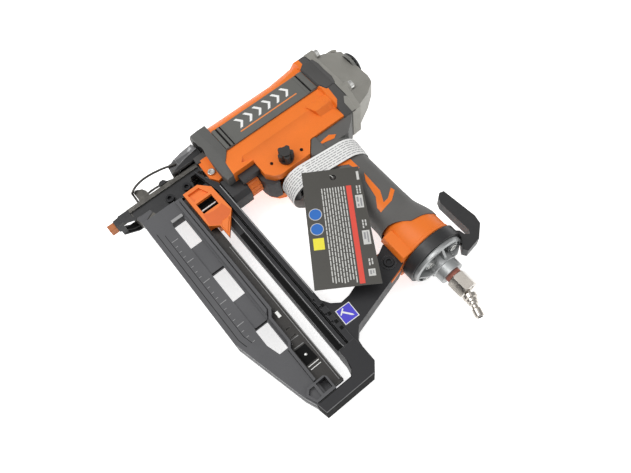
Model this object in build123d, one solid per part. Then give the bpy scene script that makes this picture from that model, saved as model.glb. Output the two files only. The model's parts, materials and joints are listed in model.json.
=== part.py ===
"""Pneumatic finish nail gun, lying on its right side.

Millimetres. The origin is the middle of the nail exit at the nose tip. +X runs along the
drive axis from the nose to the cap, -Y runs from the barrel towards the handle's end and the
magazine's end, and +Z points out of the tool's left side, which faces up.
"""
from build123d import *
import os
from math import cos, sin, radians

# ---- drive axis: cylinder, piston, nose ----
BORE_R = 19.0                 # cylinder sleeve bore
SLEEVE_R = 21.0
CHAMBER_R = 22.5              # bore of the casting round the sleeve
BARREL_R = 28.0
BARREL_X0 = 118.0             # front face of the casting
BARREL_X1 = 250.0             # rear face, where the cap bolts on
FLAT_Z = 26.3                 # height of the two flat sides of the barrel
RUN = 0.1                     # radial play of a sliding piece

# ---- handle ----
HANDLE_X = 208.5              # handle axis, parallel to Y
BELL_R = 26.5
HANDLE_END = -204.2           # face that the inlet cap bolts to

# ---- magazine ----
MAG_LEFT = 27.0
MAG_TOP = -21.2
MAG_END = -249.8
PLATE_TOP = 11.0              # outer face of a magazine side plate
NAIL_GAP = 1.5                # half the space between the two side plates
WINDOW_LIP = 7.4              # height where the windows widen behind the face
WINDOWS = (
    ((47.4, -71.5), (59.7, -71.5), (59.7, -41.2), (47.4, -41.2)),
    ((47.4, -137.0), (60.0, -137.0), (60.0, -105.5), (47.4, -105.5)),
    ((50.5, -199.2), (59.2, -199.2), (59.2, -170.0), (46.8, -170.0), (46.8, -187.0)),
)

# ---- small mechanisms ----
WHEEL_Y = -47.0               # depth wheel and stud axis, parallel to X
WHEEL_R = 11.5
STUD_R = 3.0
ARM_LOW = -13.4               # lower face of the safety yoke's arm
ROLL_Y = -46.0                # axle of the pusher's spring roll
KNOB = (166.0, -60.0)         # selector shaft, which is also the trigger's pivot
KNOB_SHAFT_R = 3.5
VALVE_X = 184.0
LATCH_PIVOT = (80.0, 7.3)
BAIL_PIVOT = (85.0, 12.0)
BAIL_WIRE_R = 1.1
BAIL_Z = 11.4                 # side wires of the bail
HOOK_ROD = (36.4, 12.6)       # where the bail's cross wire sits against the ears
DOOR_HINGE = (108.0, 3.0)
PLUG_BALL_Y = -251.0
PLUG_TILT = 19.0              # the air plug leans this far towards the nose
CAP_TOP = 26.0                # height of the cap's dome where it meets its flange
CAP_SCREWS = ((17.0, 24.0), (17.0, -24.0), (-36.0, 24.0), (-36.0, -24.0))
INLET_SCREW_R = 18.0          # radius of the circle of inlet cap screws
NOSE_SCREW = (106.0, -21.0)
MAG_BOLTS = ((61.0, -15.0), (80.0, -15.0))
ARM_SCREW = (171.0, -196.0)
TAG_HOLE = (183.0, -107.5)
TAG_Z = 27.5


# ---------------------------------------------------------------- solid makers
def block(x0, x1, y0, y1, z0, z1):
    """Box between two corners."""
    middle = Pos((x0 + x1) / 2, (y0 + y1) / 2, (z0 + z1) / 2)
    return middle * Box(x1 - x0, y1 - y0, z1 - z0)


def rod_x(radius, x0, x1, y=0.0, z=0.0):
    return Pos((x0 + x1) / 2, y, z) * Rot(0, 90, 0) * Cylinder(radius, x1 - x0)


def rod_y(radius, y0, y1, x=HANDLE_X, z=0.0):
    return Pos(x, (y0 + y1) / 2, z) * Rot(90, 0, 0) * Cylinder(radius, y1 - y0)


def rod_z(radius, z0, z1, x=0.0, y=0.0):
    return Pos(x, y, (z0 + z1) / 2) * Cylinder(radius, z1 - z0)


def plate(points, z0, z1):
    """Polygon in X, Y made thick from z0 to z1."""
    face = make_face(Polyline(*points, close=True))
    return Pos(0, 0, z0) * extrude(face, z1 - z0, dir=(0, 0, 1))


def bar_x(points, x0, x1):
    """Polygon in Y, Z made long from x0 to x1."""
    face = make_face(Polyline(*[(x0, y, z) for y, z in points], close=True))
    return extrude(face, x1 - x0, dir=(1, 0, 0))


def bar_y(points, y0, y1):
    """Polygon in X, Z made long from y0 to y1."""
    face = make_face(Polyline(*[(x, y0, z) for x, z in points], close=True))
    return extrude(face, y1 - y0, dir=(0, 1, 0))


def turned_y(points, x=HANDLE_X):
    """Solid of revolution about a line parallel to Y; points are (radius, y)."""
    face = make_face(Polyline(*[(x + r, y, 0) for r, y in points], close=True))
    return revolve(face, Axis((x, 0, 0), (0, 1, 0)))


def turned_x(points, y=0.0):
    """Solid of revolution about a line parallel to X; points are (x, radius)."""
    face = make_face(Polyline(*[(x, y + r, 0) for x, r in points], close=True))
    return revolve(face, Axis((0, y, 0), (1, 0, 0)))


def rounded_bar_y(half_x, half_z, corner, y0, y1, x=HANDLE_X):
    """Rounded rectangle in X, Z made long from y0 to y1."""
    section = Plane(origin=(x, y0, 0), x_dir=(1, 0, 0), z_dir=(0, 1, 0))
    return extrude(section * RectangleRounded(2 * half_x, 2 * half_z, corner), y1 - y0)


def wire(points, radius, bend):
    """Round wire along straight runs joined by arcs."""
    path = FilletPolyline(*points, radius=bend)
    start = Plane(origin=path @ 0, z_dir=path % 0)
    return sweep(start * Circle(radius), path=path)


def ring_of(count, radius):
    """Places evenly spaced round a circle, as (cosine, sine) times radius."""
    turns = [radians(360 * (k + 0.5) / count) for k in range(count)]
    return [(radius * cos(t), radius * sin(t)) for t in turns]


def mirrored(shape):
    return mirror(shape, about=Plane.XY)


def spring_y(radius, wire_r, y0, y1, x, z=0.0):
    """Spring as a closed tube of its outer shape."""
    outside = rod_y(radius, y0, y1, x, z)
    return outside - rod_y(radius - 2 * wire_r, y0 - 1, y1 + 1, x, z)


def spring_x(radius, wire_r, x0, x1, y=0.0, z=0.0):
    outside = rod_x(radius, x0, x1, y, z)
    return outside - rod_x(radius - 2 * wire_r, x0 - 1, x1 + 1, y, z)


# ---------------------------------------------------------------- the casting
def both_sides(half):
    """Section in Y, Z from the points of its left half."""
    return half + [(y, -z) for y, z in reversed(half)]


def rear_outline(inset=0.0):
    """Outline of the rear end in Y, Z: a flattened octagon that reaches down to the handle."""
    half = [(28.5, 12.0), (20.0, 28.5), (10.0, 30.5), (-24.0, 30.5), (-44.0, 28.5), (-59.0, 19.0)]
    return both_sides([(y - inset if y > 0 else y + inset, z - inset) for y, z in half])


def casting_outside():
    """Barrel, skirt over the trigger, neck, handle and bell without their cavities."""
    barrel = rod_x(BARREL_R, 128, 246, y=-1)
    barrel += turned_x(((206, 0), (206, BARREL_R), (232, 30.5), (246, 30.5), (246, 0)), y=-1)
    barrel &= block(100, 260, -80, 40, -FLAT_Z, FLAT_Z)
    nose_step = rod_x(24.5, BARREL_X0, 130)
    skirt_side = ((128, 2), (128, -19), (119.5, -29), (BARREL_X0, -43.5), (141, -43.5), (141, -60),
                  (146, -67), (152, -70), (186, -70), (196, -58), (236.8, -58), (236.8, 2))
    skirt_half = [(2, FLAT_Z), (-21, FLAT_Z), (-33.5, 26.0), (-38, 22.9), (-45, 22.0), (-75, 21)]
    skirt = plate(skirt_side, -40, 40) & bar_x(both_sides(skirt_half), 110, 260)
    brow_side = ((129, -18.5), (119.5, -29), (BARREL_X0, -43.5), (141, -43.5), (131, -38.5), (137.5, -31))
    brow = plate(brow_side, -26.1, 26.1)
    wedge_side = ((212, -28), (236.8, -31), (236.8, -49), (221, -48.5))
    wedge_half = [(-26, 25.4), (-32, 27.8), (-40, 27.4), (-45, 22)]
    wedge = plate(wedge_side, -40, 40) & bar_x(both_sides(wedge_half), 205, 240)
    rear = bar_x(rear_outline(inset=2.6), 236, BARREL_X1)
    handle = rounded_bar_y(18.0, 16.5, 12.0, -188, -50)
    bell = turned_y(((0, -166), (17, -166), (20, -170), (25.2, -180), (BELL_R, -187),
                     (BELL_R, HANDLE_END), (0, HANDLE_END)))
    front_wall = rod_x(24, 113, BARREL_X0)
    cheek_side = ((102.5, 5), (113.5, 5), (113.5, -31), (106, -32.5), (101.2, -25))
    flange_side = ((105, -2.5), (113.5, -2.5), (113.5, -31), (106, -32.5), (101.2, -25))
    cheeks = plate(cheek_side, 8.3, 11.2) + plate(flange_side, 11, 14) + plate(cheek_side, -11.4, -8.3)
    tongue = block(163, 184, -203.5, -182, -5, 5)
    body = barrel + nose_step + skirt + brow + wedge + rear + handle + bell + front_wall
    return body + cheeks + tongue


def main_housing():
    body = casting_outside()
    body -= rod_x(CHAMBER_R, BARREL_X0, BARREL_X1 + 1)
    body -= block(104, BARREL_X0 + 1, -8.0, 6.0, -8.3, 8.3)
    body -= block(104, 150, -75, -33.5, -13.8, 12.5)
    body -= block(149, 193.5, -75, -42, -13, 13)
    body -= rod_y(12.5, HANDLE_END - 1, -20, x=209.5)
    body -= rod_z(KNOB_SHAFT_R + 0.05, -30, 30, *KNOB)
    body -= rod_z(2.5, -6, 6, *ARM_SCREW)
    for y, z in CAP_SCREWS:
        body -= rod_x(2.5, 238, 251, y, z)
    for dx, dz in ring_of(4, INLET_SCREW_R):
        body -= rod_y(2.2, -205, -194, HANDLE_X + dx, dz)
    return body - rod_z(2.05, -12, 15, *NOSE_SCREW)


def front_collar():
    """Bumper round the front of the barrel."""
    side = ((112, 29), (128, 29), (128, -19), (119.5, -29), (BARREL_X0, -43.5), (111, -44), (110, -36))
    half = [(27.5, 11), (18, 27.3), (-20, 28), (-33, 26.5), (-45, 24)]
    collar = plate(side, -40, 40) & bar_x(both_sides(half), 105, 130)
    slope = bar_y(((105, 20), (105, 30), (120, 30), (120, 28.1)), -60, 40)
    collar -= slope + mirrored(slope)
    collar -= casting_outside()
    collar -= rod_x(24.0, 108, 113)
    collar -= block(105, 130, -60, -33.5, -13.8, 12.5)
    return collar


def rear_collar():
    """Faceted bumper round the rear of the barrel and of the neck."""
    collar = bar_x(rear_outline(), 237, BARREL_X1)
    collar -= casting_outside()
    for y, z in CAP_SCREWS:
        collar -= rod_x(2.6, 236, 251, y, z)
    return collar - rod_x(24, 225, 251)


def side_panel():
    """Panel on the flat left side of the barrel."""
    outline = ((128.3, -19.4), (235.9, -19.6), (235.9, 7), (128.3, 7))
    return plate(outline, FLAT_Z, FLAT_Z + 1.8)


def handle_grip():
    """Rubber sleeve moulded over the handle."""
    sleeve = rounded_bar_y(20.4, 18.9, 14.0, -165.8, -70.5)
    heel_side = ((197, -58.3), (236.8, -58.3), (236.8, -59.3), (246, -59.3), (240, -65), (229, -74),
                 (197, -74))
    heel = plate(heel_side, -18.9, 18.9)
    return sleeve + heel - casting_outside() - rod_y(12.5, -90, -20, x=209.5)


# ---------------------------------------------------------------- inside the barrel
def cylinder_sleeve():
    tube = rod_x(SLEEVE_R, 119, 236)
    tube -= rod_x(BORE_R, 118, 237)
    return tube


def sleeve_seals():
    """Two seals that hold the sleeve in the casting."""
    seals = [rod_x(CHAMBER_R, x, x + 3) - rod_x(SLEEVE_R, x - 1, x + 4) for x in (124, 229)]
    return Compound(seals)


def bumper():
    body = turned_x(((118.2, 18.8), (126, 18.8), (134, 15), (134, 8.6), (118.2, 8.6)))
    return body


def piston():
    head = rod_x(BORE_R - RUN, 224, 234)
    head += rod_x(8, 218, 224)
    head -= rod_x(BORE_R, 227.4, 230.6) - rod_x(15.6, 227.4, 230.6)
    head -= rod_x(10, 230.5, 235)
    return head - block(217, 229, -2.0, 0.0, -1.8, 1.8)


def piston_ring():
    return rod_x(BORE_R - 0.05, 227.5, 230.5) - rod_x(15.6, 227.4, 230.6)


def driver_blade():
    return block(97.2, 229, -1.8, -0.2, -1.7, 1.7)


def head_valve():
    cup = rod_x(CHAMBER_R - RUN, 237, 249.5)
    cup -= rod_x(18, 240, 250)
    return cup - rod_x(9, 236, 241)


def head_valve_spring():
    return spring_x(17, 1.2, 240.1, 262.9)


# ---------------------------------------------------------------- cap
def cap_gasket():
    seal = bar_x(rear_outline(inset=0.6), BARREL_X1, 251)
    seal -= rod_x(CHAMBER_R, 249, 252)
    for y, z in CAP_SCREWS:
        seal -= rod_x(2.6, 249, 252, y, z)
    return seal


def above(a, b, c):
    """Large block over the plane through three points, to cut a slope."""
    along = Vector(*b) - Vector(*a)
    normal = along.cross(Vector(*c) - Vector(*a))
    if normal.Z < 0:
        normal = normal * -1
    return Plane(origin=a, x_dir=along, z_dir=normal) * Pos(0, 0, 100) * Box(400, 400, 200)


def end_cap():
    """Cast cap: a flange, a wedge-shaped dome and four screw bosses."""
    cap = bar_x(rear_outline(), 251, 257)
    middle = ((251, 27), (262, 26), (286, 21), (291, 14), (291, -30), (288.5, -38.5), (276, -47.5), (251, -59))
    dome = plate(middle, 0, CAP_TOP)
    dome -= above((255, 0, CAP_TOP), (255, 20, CAP_TOP), (291, 0, 11))
    dome -= above((251, -59, 19), (288.5, -38.5, 10.5), (262, -42, 23.1))
    dome -= above((251, 20, CAP_TOP), (286, 13, 13), (251, 27, 5))
    cap += dome + mirrored(dome)
    cap += plate(((262, 25), (288, 25.5), (291, 20), (262, 20)), -1.6, 1.6)
    for y, z in CAP_SCREWS:
        cap += rod_x(5.6, 252, 261, y, z)
        cap -= rod_x(4.9, 261, 292, y, z)
        cap -= rod_x(2.6, 250, 262, y, z)
    cap -= rod_x(CHAMBER_R, 250, 263)
    cap -= rod_x(8, 262, 300, y=-3)
    return cap - rod_x(15.2, 287, 300, y=-3)


def cap_screws():
    """Four socket head screws that hold the cap to the casting."""
    screws = []
    for y, z in CAP_SCREWS:
        screw = rod_x(2.5, 238.5, 261, y, z) + rod_x(4.2, 261, 265.5, y, z)
        screws.append(screw - rod_x(2.1, 263, 266, y, z))
    return Compound(screws)


def exhaust_deflector():
    """Round cover on the exhaust, turned by hand to aim the air."""
    cover = turned_x(((287.2, 0), (287.2, 15), (293.5, 15), (295.5, 12.5), (295.5, 0)), y=-3)
    cover -= rod_x(12.5, 286, 290, y=-3)
    cover -= rod_x(2.6, 286, 297, y=-3)
    for y in (-11.0, -7.6, -4.2):
        cover -= block(286, 292.5, y - 3.0, y - 0.9, 3.5, 16)
    return cover


def exhaust_screw():
    """Shoulder screw through the exhaust cover, on a bridge across the exhaust bore."""
    screw = rod_x(2.55, 284, 295.6, y=-3)
    screw += rod_x(4.6, 295.6, 297.6, y=-3)
    bridge = block(282, 285, -10.7, 4.7, -1.5, 1.5)
    return screw + bridge - rod_x(1.6, 296.4, 298, y=-3)


# ---------------------------------------------------------------- nose
def nosepiece():
    """Steel driver guide, with the slot that the nails come in by."""
    side = ((23, 0), (23, -5), (28, -20.8), (85, -20.8), (88, -7.6), (118, -7.6), (118, 0))
    guide = plate(side, -6.5, 6.5)
    guide += block(101.6, 108.6, -26, -7, -8.2, 8.2)
    guide += block(9, 21.5, -2.8, 0.8, -2.7, 2.7) + block(21, 24, -2.8, 0, -2.7, 2.7)
    rail = plate(((24, -2.4), (24, 0), (38, 2.2), (74, 2.2), (100, 0), (100, -2.4)), 6.0, 8.2)
    ear = plate(((37.8, 0), (37.8, 14.2), (40.5, 15.4), (46.5, 12), (48.5, 8), (48.5, 0)), 6.0, 8.2)
    for wing in (rail, ear):
        guide += wing + mirrored(wing)
    guide -= block(8, 119, -1.9, 0.05, -1.8, 1.8)
    guide -= block(20, 119, 0, 3, -1.8, 1.8)
    guide -= block(27.5, 97, -21, -1.5, -1.1, 1.1)
    for x, y in MAG_BOLTS:
        guide -= rod_z(2.1, -8, 8, x, y)
    return guide - rod_z(2.05, -9, 9, *NOSE_SCREW)


def magazine_bolts():
    """Bolts that hold the magazine's front end to the nose."""
    bolts = []
    for x, y in MAG_BOLTS:
        bolts.append(rod_z(2.05, 1.2, 6.5, x, y) + rod_z(4.2, 6.5, 10.5, x, y) - rod_z(2, 8, 11, x, y))
    return Compound(bolts + [mirrored(bolt) for bolt in bolts])


def nose_door():
    """Front plate that opens to clear a jam, with the latch's lug and the hinge knuckle."""
    door = block(22.6, 104, 0.2, 4.4, -5.6, 5.6)
    door += rod_z(2.8, -5.6, 5.6, *DOOR_HINGE)
    door += block(102, 108, 0.2, 5.0, -5.6, 5.6)
    lug = plate(((76, 4.3), (77.4, 9.0), (79.2, 10.1), (80.8, 10.1), (82.6, 9.0), (84, 4.3)), -3, 3)
    door += lug
    door -= rod_z(1.5, -4, 4, *LATCH_PIVOT)
    return door - rod_z(1.55, -6, 6, *DOOR_HINGE)


def door_pin():
    """Hinge pin of the nose door, held in the casting's two cheeks."""
    return rod_z(1.5, -8.3, 8.3, *DOOR_HINGE)


def latch_pin():
    return rod_z(1.5, -9.6, 9.6, *LATCH_PIVOT)


def latch_lever():
    """Hood that flips forward over the nose to free the door."""
    side = ((76.6, 5.4), (78.1, 15.4), (86.8, 20.0), (107, 22.8), (110.2, 22.0), (111.4, 7.2), (104, 5.4))
    hood = plate(side, -10, 10)
    cutter = bar_x(((10, 8), (17, 10.1), (30, 10.1), (30, 3)), 70, 120)
    hood -= cutter
    hood -= mirrored(cutter)
    hood -= plate(((74, 0), (74, 11), (87, 17), (108.4, 19.6), (108.4, 0)), -7, 7)
    hood -= rod_z(1.58, -11, 11, *LATCH_PIVOT)
    return hood - rod_z(1.2, -11, 11, *BAIL_PIVOT)


def latch_bail():
    """Wire loop that hooks in front of the nose's two ears."""
    side = (BAIL_PIVOT, (72, 14.6), (57, 18.6), (44, 17.6), HOOK_ROD)
    there = [(x, y, -BAIL_Z) for x, y in side]
    back = [(x, y, BAIL_Z) for x, y in reversed(side)]
    ends = [(*BAIL_PIVOT, -7.8)], [(*BAIL_PIVOT, 7.8)]
    return wire(ends[0] + there + back + ends[1], BAIL_WIRE_R, 2.0)


def no_mar_pad():
    pad = block(-0.5, 6.5, -4.6, 2.6, -4.4, 4.4)
    pad -= block(-1, 7, -3.1, 1.1, -3.0, 3.0)
    return pad


def work_contact():
    """Safety yoke: the tip round the nose, and the arm on the right side back to the stud."""
    tip = plate(((6.5, -4.6), (6.5, 2.6), (13, 3.2), (13, -5.6)), -5.4, 5.4)
    step = plate(((8, -4.6), (8, 2.6), (13, 3.2), (13, -5.6)), ARM_LOW, -4)
    arm_side = ((8, 2.6), (13, 3.2), (22, -1.5), (92, -1.5), (100.2, -12), (100.2, -36), (109, -41),
                (109, -53), (99, -53), (92, -44), (92, -10.5), (22, -10.5), (8, -4.6))
    arm = plate(arm_side, ARM_LOW, ARM_LOW + 1.6)
    tab = block(107, 109, -53, -42, ARM_LOW, 5)
    yoke = tip + step + arm + tab - block(6, 14, -3.1, 1.1, -3.0, 3.0)
    return yoke - rod_x(STUD_R, 106, 110, WHEEL_Y)


def contact_stud():
    """Threaded stud that carries the depth wheel's setting."""
    return rod_x(STUD_R, 106.5, 138.5, WHEEL_Y)


def contact_spring():
    return spring_x(4.6, 0.6, 109.1, 120.9, WHEEL_Y)


def contact_guide():
    """Square housing that the safety yoke slides in."""
    outline = ((-33.5, 12), (-54.5, 12), (-59, 7), (-59, -7), (-55, -11.4), (-33.5, -11.4))
    shell = bar_x(outline, 106, 124)
    shell -= block(105, 121, -56, -38, -8.8, 9)
    shell -= block(105, 121, -55, -40, -12, -8)
    return shell - rod_x(STUD_R + 0.05, 120, 125, WHEEL_Y)


def depth_wheel():
    """Knurled wheel that sets the driving depth."""
    wheel = rod_x(WHEEL_R, 124.5, 136.5, WHEEL_Y)
    for dy, dz in ring_of(18, WHEEL_R + 0.5):
        wheel -= rod_x(1.1, 124, 137, WHEEL_Y + dy, dz)
    return wheel - rod_x(STUD_R + 0.06, 124, 137, WHEEL_Y)


def trigger_housing():
    """Plastic block behind the depth wheel, with the finger that keeps the wheel in place."""
    body = plate(((137, -33.5), (149.4, -33.5), (149.4, -70.6), (143, -69.2), (138.4, -64), (137, -58)),
                 -12.4, 12.4)
    body += block(137, 140.8, -52, -43.7, 12, 20)
    body += block(121, 140.8, -52, -43.7, 13, 20)
    return body - rod_x(STUD_R + 0.1, 136, 150, WHEEL_Y)


def nose_screw():
    """Screw through the casting's cheeks that holds the nose."""
    screw = rod_z(2.0, -11.2, 14, *NOSE_SCREW) + rod_z(3.5, 14, 16.2, *NOSE_SCREW)
    return screw - rod_z(1.7, 15, 17, *NOSE_SCREW)


# ---------------------------------------------------------------- trigger
def mode_knob():
    """Lobed knob on the selector shaft."""
    x, y = KNOB
    knob = rod_z(KNOB_SHAFT_R, -23.2, 25, x, y)
    knob += rod_z(7.2, 21.9, 24.5, x, y)
    knob += rod_z(5.2, 24, 33.5, x, y)
    for dx, dy in ring_of(5, 5.2):
        knob += rod_z(2.6, 24, 32, x + dx, y + dy)
    groove = rod_z(4, -22.6, -21.8, x, y) - rod_z(2.8, -22.6, -21.8, x, y)
    return knob - groove


def knob_clip():
    """Clip in the groove at the selector shaft's end."""
    return rod_z(5.2, -22.5, -21.9, *KNOB) - rod_z(2.8, -23, -21, *KNOB)


def trigger():
    side = ((160, -54.5), (171, -54.5), (177, -63), (190, -66.2), (190, -69.4), (174, -72.5),
            (163, -87), (156.5, -88.6), (151.2, -84), (152.8, -72), (158, -63))
    body = plate(side, -8, 8)
    body -= plate(((158, -50), (195, -50), (195, -66), (181, -66), (181, -75), (160, -95), (158.5, -84),
                   (156.5, -76), (158.5, -66)), -4.6, 4.6)
    body += block(181, 190, -69.2, -66.2, -5, 5)
    return body - rod_z(KNOB_SHAFT_R + 0.05, -9, 9, *KNOB) - rod_z(1.2, -9, 9, 161, -80)


def trigger_lever():
    """Small lever inside the trigger that the safety yoke has to lift."""
    arm = plate(((160.2, -82.2), (159.0, -80), (160.6, -77.6), (175, -67.4), (177.6, -68.6), (176.4, -71.0),
                 (163.2, -80.8)), -4.2, 4.2)
    return arm - rod_z(1.28, -5, 5, 161, -80)


def trigger_lever_pin():
    return rod_z(1.2, -8, 8, 161, -80)


def trigger_valve_body():
    body = rod_y(7.8, -58, -42, VALVE_X)
    body -= rod_y(4.0, -55, -43.5, VALVE_X)
    return body - rod_y(2.0, -59, -54, VALVE_X)


def valve_stem():
    return rod_y(1.95, -66.0, -51, VALVE_X) + rod_y(3.92, -52.5, -50, VALVE_X)


def valve_spring():
    return spring_y(3.5, 0.5, -49.9, -43.6, VALVE_X)


# ---------------------------------------------------------------- handle end
def inlet_gasket():
    seal = rod_y(21.8, -205, HANDLE_END) - rod_y(12.5, -206, -203)
    for dx, dz in ring_of(4, INLET_SCREW_R):
        seal -= rod_y(2.2, -206, -203, HANDLE_X + dx, dz)
    return seal


def belt_hook():
    """Ring that turns on the inlet cap, with the hook bar beside the handle."""
    ring = rod_y(29, -216, -205.4) - rod_y(22.1, -217, -204)
    side = ((236, -208), (240, -212), (241, -217), (244.5, -220), (246.5, -216), (246.5, -181),
            (249, -175.6), (253, -172.6), (257.4, -174), (260.6, -210), (258.6, -218.4), (247.2, -228.3),
            (232, -230.7), (229.5, -226.5), (236.5, -217.2))
    arm = plate(side, -6, 6)
    arm -= turned_y(((0, -204), (22.1, -204), (22.1, -216), (27, -216), (27, -220), (16, -229), (0, -229)))
    return ring + arm


def inlet_cap():
    """Cast cap that closes the handle and carries the air fitting."""
    cap = turned_y(((6.6, -205), (22, -205), (22, -216.2), (26, -216.2), (26, -220), (24, -220.6),
                    (23.4, -218.4), (12.8, -218.4), (12.2, -227), (11.5, -227.6), (11.5, -236), (6.6, -236)))
    for dx, dz in ring_of(4, INLET_SCREW_R):
        cap += rod_y(5.6, -221.4, -217, HANDLE_X + dx, dz)
    cap -= turned_y(((12.5, -204), (17, -208), (17, -212), (6, -214), (6, -204))) & rod_y(12.5, -214, -204)
    for turn in range(8):
        rib = bar_y(((9, -1.1), (24.5, -1.1), (24.5, 1.1), (9, 1.1)), -225.5, -217)
        cap += Pos(HANDLE_X, 0, 0) * Rot(0, 45 * turn, 0) * rib
    cap &= turned_y(((6.6, -205), (27, -205), (26, -219.5), (12, -228.5), (11.5, -237), (6.6, -237)))
    for dx, dz in ring_of(4, INLET_SCREW_R):
        cap -= rod_y(4.3, -230, -219, HANDLE_X + dx, dz)
        cap -= rod_y(2.2, -222, -204, HANDLE_X + dx, dz)
    return cap


def inlet_cap_screws():
    screws = []
    for dx, dz in ring_of(4, INLET_SCREW_R):
        screw = rod_y(2.1, -219, -195, HANDLE_X + dx, dz) + rod_y(3.9, -222.4, -219, HANDLE_X + dx, dz)
        screws.append(screw - rod_y(1.8, -223, -220.6, HANDLE_X + dx, dz))
    return Compound(screws)


def inlet_stem():
    """Threaded stem of the swivel fitting."""
    stem = rod_y(6.5, -244.5, -218)
    return stem - rod_y(3.2, -245, -217)


def thread_sealant():
    return rod_y(7.2, -239.4, -236.1) - rod_y(6.55, -240, -235)


def hexagon(across, x=HANDLE_X):
    """Hexagon in X, Z with the given width across its flats."""
    radius = across / 2 / cos(radians(30))
    return [(x + radius * cos(radians(60 * k)), radius * sin(radians(60 * k))) for k in range(6)]


def swivel_nut():
    """Hexagonal swivel nut with the socket for the plug's ball."""
    nut = bar_y(hexagon(17), -256, -240.2)
    nut &= turned_y(((0, -240.2), (8.9, -240.2), (9.9, -241.4), (9.9, -254.8), (8.9, -256), (0, -256)))
    nut -= rod_y(6.6, -245.5, -240)
    nut -= rod_y(3.4, -250, -244)
    nut -= Pos(HANDLE_X, PLUG_BALL_Y, 0) * Sphere(6.1)
    return nut - turned_y(((0, -252), (4.6, -252), (5.4, -257), (0, -257)))


def air_plug():
    """Quick-connect plug with the ball that lets it lean."""
    side = ((2.4, 3), (2.9, 3), (2.9, -7.8), (6.2, -8.3), (6.2, -11.6), (5.0, -12.6), (5.0, -14.6),
            (4.2, -15.6), (4.2, -17.2), (2.95, -18.4), (2.95, -20.6), (3.95, -21.8), (3.95, -28.4),
            (3.2, -29.4), (2.4, -29.4))
    plug = turned_y(side, x=0)
    ball = Sphere(6.0) - rod_y(2.4, -8, 8, x=0)
    ball -= block(-7, 7, 3.6, 8, -7, 7)
    plug = plug + ball
    return Pos(HANDLE_X, PLUG_BALL_Y, 0) * Rot(0, 0, -PLUG_TILT) * plug


# ---------------------------------------------------------------- magazine
def relieved(window):
    """A window as cut behind the face: longer towards the nose and wider towards the ribs."""
    front = max(y for x, y in window)
    side = max(x for x, y in window)
    return [(x + 1.6 * (x == side), y + 9.3 * (y == front)) for x, y in window]


def magazine_plate(face_windows):
    """Left half of the magazine, with windows, ruler edge and the double rib."""
    free_edge = ((48.7, MAG_END), (44.2, -238.7), (MAG_LEFT, -168.7), (MAG_LEFT, MAG_TOP))
    rib_edge = ((68.9, MAG_TOP), (68.9, -163.6), (64.1, -170), (64.1, -196), (60.3, -201.4), (60.3, MAG_END))
    face_edge = ((62.2, MAG_TOP), (62.2, -166.2), (60, -169), (60, -198), (57.5, -201.4), (57.5, MAG_END))
    wide_rib = ((62.2, -24), (65.0, -24), (65.0, -162.4), (62.2, -166.2))
    thin_rib = ((66.1, -24), (68.9, -24), (68.9, -163.6), (64.1, -170), (64.1, -196), (60.3, -201.4),
                (60.3, -234), (58, -234), (58, -200.8), (61.8, -195.4), (61.8, -169.4), (66.1, -162.8))
    half = plate(rib_edge + free_edge, NAIL_GAP, 9.5)
    half += plate(face_edge + free_edge, 9, PLATE_TOP)
    half += plate(wide_rib, 9, 14) + plate(thin_rib, 9, 12.5)
    for window in WINDOWS:
        half -= plate(relieved(window), -1, WINDOW_LIP)
    for window in face_windows:
        half -= plate(window, WINDOW_LIP - 0.5, 15)
    for top, bottom in ((-71.5, -105.5), (-137.0, -170.0)):
        half -= block(47.4, 60.2, bottom, top, 9.4, 12)
    return half


def magazine_plate_left():
    body = magazine_plate(WINDOWS)
    body += block(48.8, 60.2, -41.0, -37.5, PLATE_TOP - 1, PLATE_TOP + 1.6)
    pocket = plate(((46, -240), (50.5, -235.5), (66.5, -235.5), (68.5, -238), (68.5, -249.6), (50, -249.6)),
                   NAIL_GAP, 14)
    pocket -= block(57.8, 67, -247, -237, NAIL_GAP + 2, 15)
    pocket -= plate(((48, -240.6), (51, -237.5), (55.6, -237.5), (55.6, -247.6), (51, -247.6)), 7, 15)
    return body + pocket


def magazine_plate_right():
    return mirrored(magazine_plate([relieved(window) for window in WINDOWS]))


def magazine_spacer():
    """Strip between the two halves that the nail points run along."""
    return plate(((MAG_LEFT + 0.4, MAG_TOP), (30, MAG_TOP), (30, -168), (46.4, -236), (46.4, -238.7),
                  (44.4, -238.7), (MAG_LEFT + 0.4, -168.5)), -NAIL_GAP, NAIL_GAP)


def nail_channel():
    """Two steel strips that hold the nails upright."""
    outline = ((69.2, -22), (78.4, -22), (78.4, -246), (69, -246), (69, -235), (60.7, -235), (60.7, -201.6),
               (64.4, -196.4), (64.4, -170.2), (69.2, -163.8))
    strip = plate(outline, NAIL_GAP, 4.0)
    strip -= block(67, 71.5, -185, -183.6, 3, 5)
    strip -= block(67, 71.5, -193, -191.6, 3, 5)
    strip -= rod_z(2.2, 1, 5, 68.4, -215)
    return Compound([strip, mirrored(strip)])


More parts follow.
